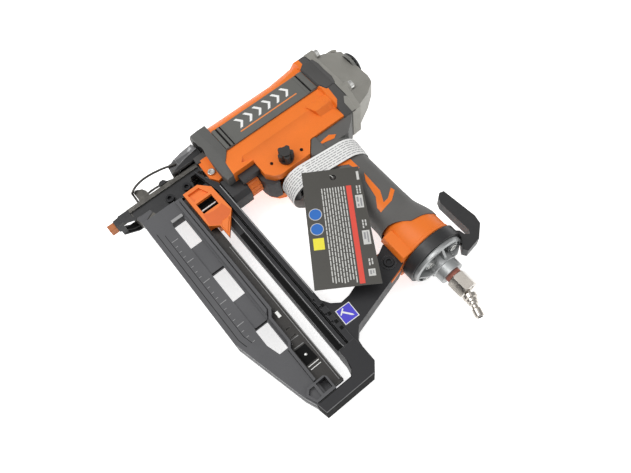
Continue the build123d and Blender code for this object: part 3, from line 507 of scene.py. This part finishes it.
# ------------------------------------------------------------------ housing
# near-black discs in small holes: painted shade inside the holes
hole_shade = bmesh.new()
for x, y in ((152.3, -55.4), (182.4, -61.7)):
    for flip in (Matrix(), mirror_z(Matrix())):
        lathe(hole_shade, ((0, 20.6), (1.5, 20.6), (1.5, 22.25), (1.1, 22.25), (0, 22.0)),
              flip @ Matrix.Translation((x, y, 0)))
add_piece("housing_hole_shade", hole_shade, "dark_mark_and_painted_shade", bevel=0.05)
patch = bmesh.new()
for flip in (Matrix(), mirror_z(Matrix())):
    taper(patch, ((186.0, -69.0), (196.2, -57.0), (202, -57.0), (202, -77), (190, -77), (184.5, -73.5)),
          ((187.2, -70.0), (196.6, -58.6), (201, -58.6), (201, -76), (191, -76), (186.4, -73.2)),
          7, 21.6, flip)
add_piece("neck_patch", patch, "grip_rubber", bevel=0.8, segments=3)
GRIP = ("handle_grip", "main_housing")
skins("neck_stripe", [((194.3, -66.6), (212.8, -64.2), (218.5, -68.4), (214.4, -70.8), (206.3, -68.8))],
      GRIP, "housing_orange", 0.45, 1.2, sides=BOTH, bevel=0.2)
skins("grip_inlay", [((197.1, -93.9), (210.8, -98.3), (211.0, -110.6), (208.0, -112.3), (206.0, -101.8),
                      (197.6, -96.5)),
                     ((210.6, -117.8), (209.3, -141.2), (203.7, -152.3), (209.3, -151.5), (218.6, -145.1),
                      (219.6, -149.1), (210.4, -155.6), (195.6, -157.9), (196.1, -152.2), (202.2, -143.2),
                      (205.9, -125.5))],
      GRIP, "housing_orange", 0.4, 1.2, 1.2, sides=BOTH, bevel=0.2)


def bar_radius(turn, half_x, half_z, corner):
    """Distance from the middle to the edge of a rounded rectangle in the direction of turn."""
    c, s = abs(cos(turn)), abs(sin(turn))
    reach = min(half_x / max(c, 1e-6), half_z / max(s, 1e-6))
    x, z = reach * c, reach * s
    if x > half_x - corner and z > half_z - corner:
        cx, cz = half_x - corner, half_z - corner
        along = cx * c + cz * s
        reach = along + sqrt(max(0.0, along * along - cx * cx - cz * cz + corner * corner))
    return reach


def flare_edge(turn):
    """Y of the flare's free edge: deep on the outer side, waved over each flat side."""
    x = cos(turn)
    table = ((-1.0, -170.0), (-0.7, -171.5), (-0.5, -174.0), (-0.3, -178.0), (-0.07, -184.0), (0.41, -186.0),
             (0.71, -188.0), (1.0, -188.0))
    for (a, ya), (b, yb) in zip(table, table[1:]):
        if x <= b:
            share = max(0.0, (x - a) / (b - a))
            return ya + (yb - ya) * share
    return table[-1][1]


flare = bmesh.new()
ROUND, ROWS = 96, 22
outer, inner = [], []
for i in range(ROUND):
    turn = 2 * pi * i / ROUND
    column, hidden = [], []
    for j in range(ROWS + 1):
        y = -154.0 + (flare_edge(turn) + 154.0) * j / ROWS
        share = min(1.0, max(0.0, (-161.0 - y) / 25.0))
        share = share * share * (3 - 2 * share)
        reach = bar_radius(turn, 20.55, 19.05, 14.1) * (1 - share) + 27.2 * share
        place = lambda r: (208.5 + r * cos(turn), y, r * sin(turn))
        column.append(flare.verts.new(place(reach)))
        hidden.append(flare.verts.new(place(reach - 1.1)))
    outer.append(column)
    inner.append(hidden)
for i in range(ROUND):
    k = (i + 1) % ROUND
    for j in range(ROWS):
        flare.faces.new((outer[i][j], outer[k][j], outer[k][j + 1], outer[i][j + 1]))
        flare.faces.new((inner[i][j], inner[i][j + 1], inner[k][j + 1], inner[k][j]))
    flare.faces.new((outer[i][ROWS], outer[k][ROWS], inner[k][ROWS], inner[i][ROWS]))
    flare.faces.new((outer[i][0], inner[i][0], inner[k][0], outer[k][0]))
add_piece("grip_flare", flare, "grip_rubber", bevel=0.3)

bell = bmesh.new()
for flip in (Matrix(), mirror_z(Matrix())):
    slab(bell, 181.2, 192, -204, -178, 4, 11.6, flip)
    taper(bell, ((178.6, -176.5), (192, -174), (194, -204), (178.6, -204)),
          ((180.5, -178), (190.5, -177), (191.5, -204), (180.5, -204)), 11.5, 19.5, flip)
add_piece("bell_rib", bell, "housing_orange", bevel=0.8, segments=3)
rim = bmesh.new()
lathe(rim, ((26.3, 200.9), (27.1, 201.4), (27.1, 203.6), (26.3, 204.1), (25.0, 204.1), (25.0, 200.9),
            (26.3, 200.9)),
      Matrix.Translation((208.5, 0, 0)) @ DOWN_Y, 72)
add_piece("bell_rim", rim, "housing_orange", bevel=0.2)
sliver = bmesh.new()
prism(sliver, ((180.2, -204.4), (174.2, -207.4), (162, -210.6), (161.5, -209.5), (174, -206.2),
               (180.2, -203.0)),
      6, 9.5)
add_piece("arm_edge_strip", sliver, "housing_orange", bevel=0.3)

# ------------------------------------------------------------------ cap, exhaust, collars
fin = bmesh.new()
prism(fin, ((270, 27.6), (289, 27.0), (293.2, 25.0), (293.6, 22.6), (291.2, 22.0), (289.4, 24.2),
            (270, 25.6)),
      -2.0, 2.4)
add_piece("cap_fin", fin, "cap_cast", bevel=0.5)
grille = bmesh.new()
AXIS_Y = -3.0
for k in range(90):
    radial = Matrix.Translation((0, AXIS_Y, 0)) @ Matrix.Rotation(radians(4 * k), 4, "X")
    slab(grille, 287.4, 290.8, -0.34, 0.34, 14.6, 15.12, radial)
add_piece("deflector_grille", grille, "mesh_gray", "exhaust_deflector", 0.1)
ledge = bmesh.new()
slab(ledge, 246.6, 250.9, -59.7, -58.7, -18.6, 18.6)
add_piece("cap_lower_lip", ledge, "cap_cast", bevel=0.3)
COLLAR = ("rear_collar", "end_cap", "cap_gasket", "main_housing")
skins("cap_corner_lip", [((245.0, -49.2), (246.7, -58.4), (251.0, -58.4), (251.0, -46.0), (248.2, -44.6))],
      COLLAR,
      "cap_cast", 0.35, 0.8, 1.2, sides=BOTH, bevel=0.15)
skins("collar_saddle", [((236.1, 6.8), (237.4, 7.0), (242.0, 10.1), (251.0, 9.3), (252.5, 9.1), (254.0, 1.0),
                         (253.5, -9.0), (253.8, -20.0), (251.5, -27.4), (241.2, -27.4), (237.4, -18.8),
                         (236.1, -19.3))], COLLAR, "bumper_dark",
      0.7, 1.2, 1.4, bevel=0.5)
skins("collar_corners", [((231.0, 25.0), (237.0, 28.2), (243.0, 25.0), (243.0, 21.2), (242.0, 11.2),
                          (237.4, 7.8),
                          (231.0, 7.8)),
                         ((231.0, -20.2), (236.8, -20.2), (240.6, -27.9), (242.4, -28.6), (240.9, -43.5),
                          (237.0, -48.0), (231.0, -44.0))],
      COLLAR, "housing_orange", 0.3, 0.9, 1.2, bevel=0.2)

# ------------------------------------------------------------------ nose and latch
NOSE = ("nosepiece",)
skins("nose_shadow_web", [((24.4, -2.4), (25.0, -10.5), (40.0, -11.0), (43.0, -20.6), (85, -20.6),
                           (88.0, -8.0), (100.4, -7.8), (100.4, -2.4))], NOSE, "steel_black", 0.15, 0.5,
      sides=BOTH)
skins("nose_cheek", [((25.4, -10.8), (40.0, -11.4), (41.0, -14.6), (29.0, -20.3), (27.6, -19.4))], NOSE,
      "magazine_gray", 0.7, 1.0, sides=BOTH, bevel=0.3)
shroud = bmesh.new()
prism(shroud, ((12.5, 3.1), (24, 3.0), (24, -5), (26, -12), (18, -9), (12.8, -5.8)), 5.8, 7.2)
add_piece("nose_shroud", shroud, "steel_black", bevel=0.4)
skirt_low = bmesh.new()
prism(skirt_low, ((13.2, -2.8), (24, -2.8), (26, -10.4), (18, -9.0), (13.2, -5.6)), -7.4, -6.75)
add_piece("contact_skirt", skirt_low, "steel_black", "contact", 0.2)
pivot = bmesh.new()
for flip in (Matrix(), mirror_z(Matrix())):
    prism(pivot, ((60.6, 4.4), (60.8, 7.2), (63.4, 9.2), (67.2, 9.2), (70.4, 4.4)), 3.2, 6.5, flip)
add_piece("door_lugs", pivot, "steel_black", "nose_door", 0.5)
flanks = bmesh.new()
for flip in (Matrix(), mirror_z(Matrix())):
    prism(flanks, ((77.4, 5.6), (86.5, 9.4), (110.8, 13.2), (111.2, 7.3), (104, 5.6)), 8.9, 10.25, flip)
add_piece("latch_flanks", flanks, "steel_black", "latch_lever", 0.3)
SCOOP_TOP = 11.3
WIRE_ROOM = 1.1                                     # the rim's front end is lower, where the bail swings past
SCOOP_BASE = 7.6
scoop = bmesh.new()
for side in BOTH:
    rows = []
    for j in range(9):
        s = j / 8
        x_low, x_high = 86.5 + 24.0 * s, 88.0 + 21.5 * s
        y_low, y_high = 9.8 + 3.6 * s, 19.0 + 2.4 * s
        row = []
        for i in range(9):
            t = i / 8
            deep = 1.9 * sin(pi * t) * sin(pi * min(1.0, s * 1.15)) ** 0.6 if 0 < s else 0
            near_wire = min(1.0, max(0.0, 1.5 - 4.0 * s))
            row.append((x_low + (x_high - x_low) * t, y_low + (y_high - y_low) * t,
                        SCOOP_TOP - deep - WIRE_ROOM * near_wire))
        rows.append(row)
    top = [[scoop.verts.new((x, y, z * side)) for x, y, z in row] for row in rows]
    low = [[scoop.verts.new((x, y, SCOOP_BASE * side)) for x, y, z in row] for row in rows]
    for j in range(8):
        for i in range(8):
            scoop.faces.new((top[j][i], top[j][i + 1], top[j + 1][i + 1], top[j + 1][i]))
            scoop.faces.new((low[j][i], low[j + 1][i], low[j + 1][i + 1], low[j][i + 1]))
    for i in range(8):
        scoop.faces.new((top[0][i], low[0][i], low[0][i + 1], top[0][i + 1]))
        scoop.faces.new((top[8][i], top[8][i + 1], low[8][i + 1], low[8][i]))
        scoop.faces.new((top[i][0], top[i + 1][0], low[i + 1][0], low[i][0]))
        scoop.faces.new((top[i][8], low[i][8], low[i + 1][8], top[i + 1][8]))
add_piece("latch_scoops", scoop, "scoop_gray", "latch_lever", 0.35)
brow = bmesh.new()
for flip in (Matrix(), mirror_z(Matrix())):
    prism(brow, ((78.0, 9.8), (78.8, 14.9), (87.8, 19.1), (86.4, 9.8)), 7.6, 10.2, flip)
add_piece("latch_brows", brow, "latch_gray", "latch_lever", 0.5)
# near-black sheet on the hood's inner wall: painted shade inside the latch
latch_shade_plate = bmesh.new()
prism(latch_shade_plate, ((84.6, 5.8), (106, 5.8), (107, 18), (88, 15.5), (84.6, 12)), -6.9, -6.3)
add_piece("latch_inside_shade", latch_shade_plate, "dark_mark_and_painted_shade", "latch_lever", 0.1)
# near-black U-shaped sheet over the casting's front face: painted shade under the front collar
front_shade = bmesh.new()
arc = [(23.5 * cos(radians(a)), 23.5 * sin(radians(a))) for a in range(-95, 96, 5)]
edge = [(-2.0, -15.3), (6.2, -15.3), (6.2, 15.3), (-2.0, 15.3)]
prism(front_shade, [(-z, y) for y, z in arc + edge[::-1]], 112.2, 112.9, ACROSS)
add_piece("collar_front_shade", front_shade, "dark_mark_and_painted_shade", bevel=0.1)
# near-black sheet beneath the slot: painted shade seen through the opening
chute = bmesh.new()
prism(chute, ((93.5, -7.8), (99.5, -8.0), (100, -17), (93.5, -17)), -6.4, -5.8)
add_piece("nail_chute_shade", chute, "dark_mark_and_painted_shade", bevel=0.1)
lug = bmesh.new()
prism(lug, ((100.6, -3.0), (101.4, 5.3), (113.6, 5.3), (113.6, -3.0)), 8.2, 12.6)
add_piece("nose_lug_cover", lug, "bumper_dark", bevel=0.8, segments=3)

bail = bmesh.new()
near = ((85, 12, 7.8), (85, 12, 10.0), (83.8, 12.3, 11.3), (78, 14.4, 11.4), (71, 16.4, 11.4),
        (62, 18.0, 11.4), (53, 18.4, 11.4), (45, 17.0, 11.4), (39.6, 14.6, 11.3), (36.7, 12.9, 10.4),
        (36.4, 12.6, 8.6), (36.4, 12.6, 0))
far = [(x, y, -z) for x, y, z in near[-2::-1]]
tube(bail, curve_points(list(near) + far, 6), 1.1, 14)
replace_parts(add_piece("bail_wire", bail, "steel_wire", "latch_bail"), "latch_bail")

# ------------------------------------------------------------------ magazine
PLATE = ("magazine_plate_left", "magazine_plate_right")
ticks = bmesh.new()
for k in range(5):
    y = -56.0 - 25.4 * k
    reach = 44.0
    start = 37.4 if y > -168 else 37.4 + (-168 - y) * 0.25
    lay(ticks, ((start, y - 0.3), (reach, y - 0.3), (reach, y + 0.3), (start, y + 0.3)), PLATE, 0.1, 0.4)
    for m in (1, 2, 3):
        low = y - 6.35 * m
        if low > -181:
            first = 37.4 if low > -168 else 37.4 + (-168 - low) * 0.25
            lay(ticks, ((first, low - 0.22), (first + 2.4, low - 0.22), (first + 2.4, low + 0.22),
                        (first, low + 0.22)), PLATE, 0.1, 0.4)
add_piece("ruler_ticks", ticks, "light_mark_and_painted_highlight", bevel=0.04)
skins("ruler_border", [((36.2, -46.0), (36.6, -46.0), (36.6, -168.0), (38.8, -177.0), (38.4, -177.0),
                        (36.2, -168.2)),
                       ((31.0, -40.0), (31.5, -40.0), (31.5, -168.2), (33.6, -177.0), (33.1, -177.0),
                        (31.0, -168.4))], PLATE, "dark_mark_and_painted_shade", 0.1, 0.4, 2.5, sides=BOTH)
lip = bmesh.new()
slab(lip, 48.4, 60.4, -40.9, -37.6, 12.3, 13.1)
add_piece("window_lip_edge", lip, "light_mark_and_painted_highlight", bevel=0.3)
# dark lines at the cross pieces' step: painted shadow of the step
skins("cross_piece_shade_lines", [((47.8, -105.2), (60.0, -105.2), (60.0, -103.8), (47.8, -103.8)),
                            ((47.4, -169.8), (60.0, -169.8), (60.0, -168.4), (47.4, -168.4))],
      PLATE, "dark_mark_and_painted_shade", 0.12, 0.5)
RAIL = ("magazine_frame",)
skins("rail_highlights", [((94.1, -61), (94.6, -61), (94.6, -229), (94.1, -229)),
                          ((103.6, -37), (104.3, -37), (104.3, -176), (103.6, -176))],
      RAIL, "light_mark_and_painted_highlight", 0.08, 0.4, 6.0)
skins("rail_shadows", [((88.9, -88), (93.7, -88), (93.7, -229), (88.9, -229)),
                       ((97.9, -61), (99.3, -61), (99.3, -229), (97.9, -229))],
      RAIL, "dark_mark_and_painted_shade", 0.08, 0.4, 6.0)
skins("rail_teeth", [((101.6, y + 1.6), (104.5, y + 1.2), (104.5, y - 1.6), (101.6, y - 1.8))
                     for y in (-189.5, -198.9, -207.8, -214.6)], RAIL, "dark_mark_and_painted_shade", 0.12, 0.5)
# near-black band round the end block's sides: painted shade on the sides facing away from the light
end_shade = bmesh.new()
prism(end_shade, ((48.7, -250.0), (50.7, -259.75), (99.7, -259.75), (105.95, -252.4), (105.95, -237.0),
              (105.6, -237.0),
              (105.6, -252.3), (99.5, -259.4), (51.1, -259.4), (49.1, -250.0)), -13.2, 9.8)
add_piece("end_block_side_shade", end_shade, "dark_mark_and_painted_shade", bevel=0.1)
seams = bmesh.new()
for outline in (((51.0, -250.9), (83.2, -250.9), (83.2, -250.4), (51.0, -250.4)),
                ((83.0, -250.9), (87.2, -246.6), (89.2, -238.2), (88.7, -238.2), (86.7, -246.3),
                 (82.6, -250.4))):
    lay(seams, outline, RAIL, 0.12, 0.5)
add_piece("end_block_seams", seams, "dark_mark_and_painted_shade", bevel=0.04)
STRIP = ("nail_channel",)
skins("strip_lines", [((77.6, -90), (78.2, -90), (78.2, -244), (77.6, -244)),
                      ((75.4, -90), (75.8, -90), (75.8, -244), (75.4, -244)),
                      ((62.6, -193.4), (72.6, -193.9), (72.6, -194.5), (62.6, -194.0)),
                      ((62.6, -201.2), (72.0, -201.7), (72.0, -202.2), (62.6, -201.7))],
      STRIP, "light_mark_and_painted_highlight", 0.1, 0.4, 8.0)
skins("strip_step", [((61.6, -203.0), (72.6, -203.4), (73.6, -219.0), (61.8, -219.0))],
      STRIP, "dark_mark_and_painted_shade", 0.25, 0.5)
clips = bmesh.new()
for y in (-220.9, -223.9):
    slab(clips, 62.4, 73.0, y - 0.45, y + 0.45, 3.6, 4.4)
slab(clips, 69.0, 72.2, -172.2, -165.8, 3.8, 4.4)
lathe(clips, ((0, 3.6), (1.3, 3.6), (1.3, 4.2), (0.9, 4.4), (0, 4.4)), Matrix.Translation((67.5, -211.0, 0)))
add_piece("strip_clips", clips, "screw_silver", bevel=0.2)

# ------------------------------------------------------------------ pusher
# darker orange skin on the pusher: painted shade where its facet slopes away from the light
skins("pusher_painted_shade", [((74.8, -52.9), (79.0, -54.9), (84.0, -55.8), (89.5, -55.6), (94.2, -54.0),
                        (96.9, -64.6), (93.6, -68.2), (83.3, -72.1), (80.6, -71.3), (72.8, -65.4))],
      ("pusher",), "orange_painted_shade",
      0.1, 0.5, body="pusher")
# near-black floor and walls inside the pusher's recess: painted shade
recess_shade = bmesh.new()
for x0, x1, z0 in ((75.7, 88.3, 5.3), (88.3, 92.3, 6.2)):
    slab(recess_shade, x0 + 0.1, x1 - 0.1, -52.3, -39.7, z0, z0 + 0.25)
    for y in (-52.5, -39.8):
        slab(recess_shade, x0, x1, y, y + 0.3, z0, 10.8)
for x, z0 in ((75.7, 5.3), (92.0, 6.2)):
    slab(recess_shade, x, x + 0.3, -52.5, -39.5, z0, 10.8)
add_piece("pusher_recess_shade", recess_shade, "dark_mark_and_painted_shade", "pusher", 0.05)
pin = bmesh.new()
tube(pin, [(76.3, -46.0, 8.0), (91.9, -46.0, 8.0)], 1.4, 20)
add_piece("pusher_pin", pin, "screw_silver", "pusher", 0.1)
spike = bmesh.new()
taper(spike, ((80.6, -72.4), (84.5, -69.0), (93.4, -69.4), (80.9, -84.6)),
      ((81.4, -73.8), (84.4, -70.4), (91.6, -70.2), (81.5, -82.4)), 13.4, 14.9)
add_piece("pusher_spike", spike, "wheel_orange", "pusher", 0.5)


# ------------------------------------------------------------------ tag, band, sticker
TAG_CORNER = Vector((164.7, -85.3, 0))
TAG_ACROSS = Vector((0.83504, -0.55019, 0))
TAG_ALONG = Vector((-0.54138, -0.84078, 0))
TAG_PLACE = Matrix((TAG_ACROSS, TAG_ALONG, Vector((0, 0, 1)))).transposed().to_4x4()
TAG_PLACE.translation = TAG_CORNER
TAG_FACE = 28.2
dice = random.Random(5)


def tag_bars(work, columns, start, end, width, short, long_, gap):
    """Rows of plain bars along the tag, in place of printing."""
    for u in columns:
        v = start
        while v < end - short:
            reach = min(end, v + dice.uniform(short, long_))
            slab(work, u, u + width, v, reach, TAG_FACE - 0.1, TAG_FACE + 0.12, TAG_PLACE)
            v = reach + gap


printing = bmesh.new()
tag_bars(printing, [15.6 + 2.45 * k for k in range(9)], 18.8, 110.5, 0.95, 2.4, 6.5, 0.75)
tag_bars(printing, (46.4, 48.9), 19.6, 27.8, 1.2, 1.6, 3.2, 0.6)
tag_bars(printing, (47.0, 49.4), 54.0, 62.0, 1.2, 1.6, 3.2, 0.6)
tag_bars(printing, (47.4, 49.8), 90.6, 98.0, 1.2, 1.6, 3.2, 0.6)
tag_bars(printing, (48.2,), 5.0, 14.0, 2.2, 8.0, 9.0, 0.6)
for u0, v0, u1, v1 in ((44.4, 29.2, 50.8, 42.0), (45.6, 64.2, 52.0, 77.4), (46.0, 99.9, 51.8, 106.2)):
    slab(printing, u0, u1, v0, v1, TAG_FACE - 0.1, TAG_FACE + 0.12, TAG_PLACE)
for v in (43.6, 58.0):
    lathe(printing, ((0, TAG_FACE - 0.1), (5.8, TAG_FACE - 0.1), (5.8, TAG_FACE + 0.1), (0, TAG_FACE + 0.1)),
          TAG_PLACE @ Matrix.Translation((8.0, v, 0)), 48)
add_piece("tag_printing", printing, "tag_print", "hang_tag")
discs = bmesh.new()
for v in (43.6, 58.0):
    lathe(discs, ((0, TAG_FACE), (5.2, TAG_FACE), (5.2, TAG_FACE + 0.2), (0, TAG_FACE + 0.2)),
          TAG_PLACE @ Matrix.Translation((8.0, v, 0)), 48)
add_piece("tag_discs", discs, "blue_print", "hang_tag")
bar = bmesh.new()
slab(bar, 37.6, 42.2, 18.6, 111.9, TAG_FACE - 0.1, TAG_FACE + 0.14, TAG_PLACE)
add_piece("tag_red_bar", bar, "red_print", "hang_tag", 0.05)
sign = bmesh.new()
slab(sign, 3.4, 12.8, 66.6, 77.6, TAG_FACE - 0.1, TAG_FACE + 0.14, TAG_PLACE)
add_piece("tag_yellow_patch", sign, "yellow_print", "hang_tag", 0.1)
notes = bmesh.new()
for u0, v0, u1, v1 in ((45.4, 31.0, 47.0, 36.0), (48.2, 32.4, 49.6, 40.4), (45.6, 38.0, 47.0, 40.6),
                       (46.8, 66.0, 48.4, 72.4), (49.4, 65.6, 50.6, 75.6), (47.2, 101.2, 48.6, 104.8),
                       (49.6, 101.4, 50.6, 104.0)):
    slab(notes, u0, u1, v0, v1, TAG_FACE, TAG_FACE + 0.22, TAG_PLACE)
add_piece("tag_box_bars", notes, "gray_print", "hang_tag")
eyelet = bmesh.new()
lathe(eyelet, ((2.15, 27.45), (2.15, 28.35), (2.7, 28.35), (2.7, 27.45), (2.15, 27.45)),
      Matrix.Translation((183.0, -107.5, 0)))
add_piece("tag_eyelet", eyelet, "dark_mark_and_painted_shade", "hang_tag", 0.05)

BAND_PLACE = Matrix.Translation((190.6, -86, 0)) @ Matrix.Rotation(radians(-6), 4, "Z")


def band_point(along):
    """Place and outward direction on the band's outer face, along its loop."""
    straight, turn_r = 20.4, 21.85
    arc = pi * turn_r
    along %= 4 * straight + 2 * arc
    if along < 2 * straight:
        return (along - straight, turn_r), (0, 1)
    along -= 2 * straight
    if along < arc:
        t = pi / 2 - along / turn_r
        return (straight + turn_r * cos(t), turn_r * sin(t)), (cos(t), sin(t))
    along -= arc
    if along < 2 * straight:
        return (straight - along, -turn_r), (0, -1)
    t = -pi / 2 - (along - 2 * straight) / turn_r
    return (-straight + turn_r * cos(t), turn_r * sin(t)), (cos(t), sin(t))


rows = bmesh.new()
for y in (-7.4, -4.9, -2.4, 0.1, 2.6, 5.1, 7.4):
    spot = dice.uniform(0, 3)
    while spot < 216:
        reach = spot + dice.uniform(2.0, 5.5)
        count = max(2, int((reach - spot) / 1.6))
        faces = []
        for k in range(count + 1):
            (px, pz), (nx, nz) = band_point(spot + (reach - spot) * k / count)
            ring = []
            for dy, up in ((-0.38, 0.0), (-0.38, 0.16), (0.38, 0.16), (0.38, 0.0)):
                ring.append(rows.verts.new(BAND_PLACE @ Vector((px + nx * up, y + dy, pz + nz * up))))
            faces.append(ring)
        for a, b in zip(faces, faces[1:]):
            for i in range(4):
                rows.faces.new((a[i], a[(i + 1) % 4], b[(i + 1) % 4], b[i]))
        rows.faces.new(faces[0])
        rows.faces.new(faces[-1][::-1])
        spot = reach + dice.uniform(0.7, 1.2)
add_piece("band_printing", rows, "gray_print")
tie = bmesh.new()
tube(tie, curve_points(((183.0, -107.6, 27.0), (182.9, -106.6, 28.6), (182.2, -102.5, 27.2),
                        (181.4, -97.2, 22.6))),
     0.35, 10)
add_piece("tag_tie", tie, "tie_clear")

STICKER = Matrix(((0.999, 0.045, 0, 114.7), (-0.045, 0.999, 0, -207.9), (0, 0, 1, 0), (0, 0, 0, 1)))
card = bmesh.new()
slab(card, -7.2, 7.2, -7.4, 7.4, 10.9, 11.2, STICKER)
add_piece("sticker_border", card, "white_print", bevel=0.06)
inner_card = bmesh.new()
slab(inner_card, -6.5, 6.5, -6.7, 6.7, 11.1, 11.3, STICKER)
add_piece("sticker_field", inner_card, "sticker_blue", bevel=0.05)
nail = bmesh.new()
slant = STICKER @ Matrix.Rotation(radians(40), 4, "Z")
slab(nail, -3.2, 3.2, 4.0, 5.2, 11.2, 11.42, slant)
slab(nail, -0.8, 0.8, -4.2, 4.0, 11.2, 11.42, slant)
prism(nail, ((-0.8, -4.2), (0.0, -6.2), (0.8, -4.2)), 11.2, 11.42, slant)
add_piece("sticker_nail", nail, "white_print", bevel=0.04)


# ------------------------------------------------------------------ floor, light and camera
floor_mesh = bpy.data.meshes.new("floor")
work = bmesh.new()
bmesh.ops.create_grid(work, x_segments=8, y_segments=8, size=4.0)
work.to_mesh(floor_mesh)
work.free()
floor = bpy.data.objects.new("floor", floor_mesh)
bpy.context.scene.collection.objects.link(floor)
floor.location.z = CAD_LOW.z - 0.0002
floor_look = finish("floor_pale", srgb(247, 247, 246), 0.7, 0, 2.0, 0.02, 0.01, 200, 0.0)
floor_shader = next(n for n in floor_look.node_tree.nodes if n.type == "BSDF_PRINCIPLED")
floor_shader.inputs["Emission Color"].default_value = (1, 1, 1, 1)
floor_shader.inputs["Emission Strength"].default_value = 0.7
floor.data.materials.append(floor_look)
floor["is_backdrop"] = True


def area_light(name, place, aim, size, watts, colour=(1, 1, 1)):
    light = bpy.data.lights.new(name, "AREA")
    light.shape = "SQUARE"
    light.size = size
    light.energy = watts
    light.color = colour
    obj = bpy.data.objects.new(name, light)
    obj.location = place
    obj.rotation_mode = "QUATERNION"
    obj.rotation_quaternion = (Vector(aim) - Vector(place)).to_track_quat("-Z", "Y")
    bpy.context.scene.collection.objects.link(obj)


MIDDLE = (0.15, -0.12, 0.0)
area_light("key", (-0.45, 0.55, 1.35), MIDDLE, 0.9, 12)
area_light("fill", (0.95, -0.95, 1.0), MIDDLE, 1.2, 2.5)
area_light("top", (0.15, -0.1, 1.6), MIDDLE, 1.5, 5)
world = bpy.data.worlds.new("studio")
world.use_nodes = True
world.node_tree.nodes["Background"].inputs[0].default_value = (1, 1, 1, 1)
world.node_tree.nodes["Background"].inputs[1].default_value = 0.5
bpy.context.scene.world = world
bpy.context.scene.view_settings.view_transform = "Standard"

camera = bpy.data.objects.new("camera", bpy.data.cameras.new("camera"))
camera.data.sensor_width = 36.0
camera.data.lens = 35.03
camera.data.clip_start = 0.01
LOOK = Vector((0.21879, 0.38168, -0.89803))
UP = Vector((0.58960, 0.68160, 0.43334))
RIGHT = Vector((0.77749, -0.62429, -0.07591))
turn = Matrix((RIGHT, UP, -LOOK)).transposed()
camera.matrix_world = Matrix.Translation(Vector((0.02038, -0.34231, 0.49755))) @ turn.to_4x4()
bpy.context.scene.collection.objects.link(camera)
bpy.context.scene.camera = camera

bpy.context.view_layer.update()
low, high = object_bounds()
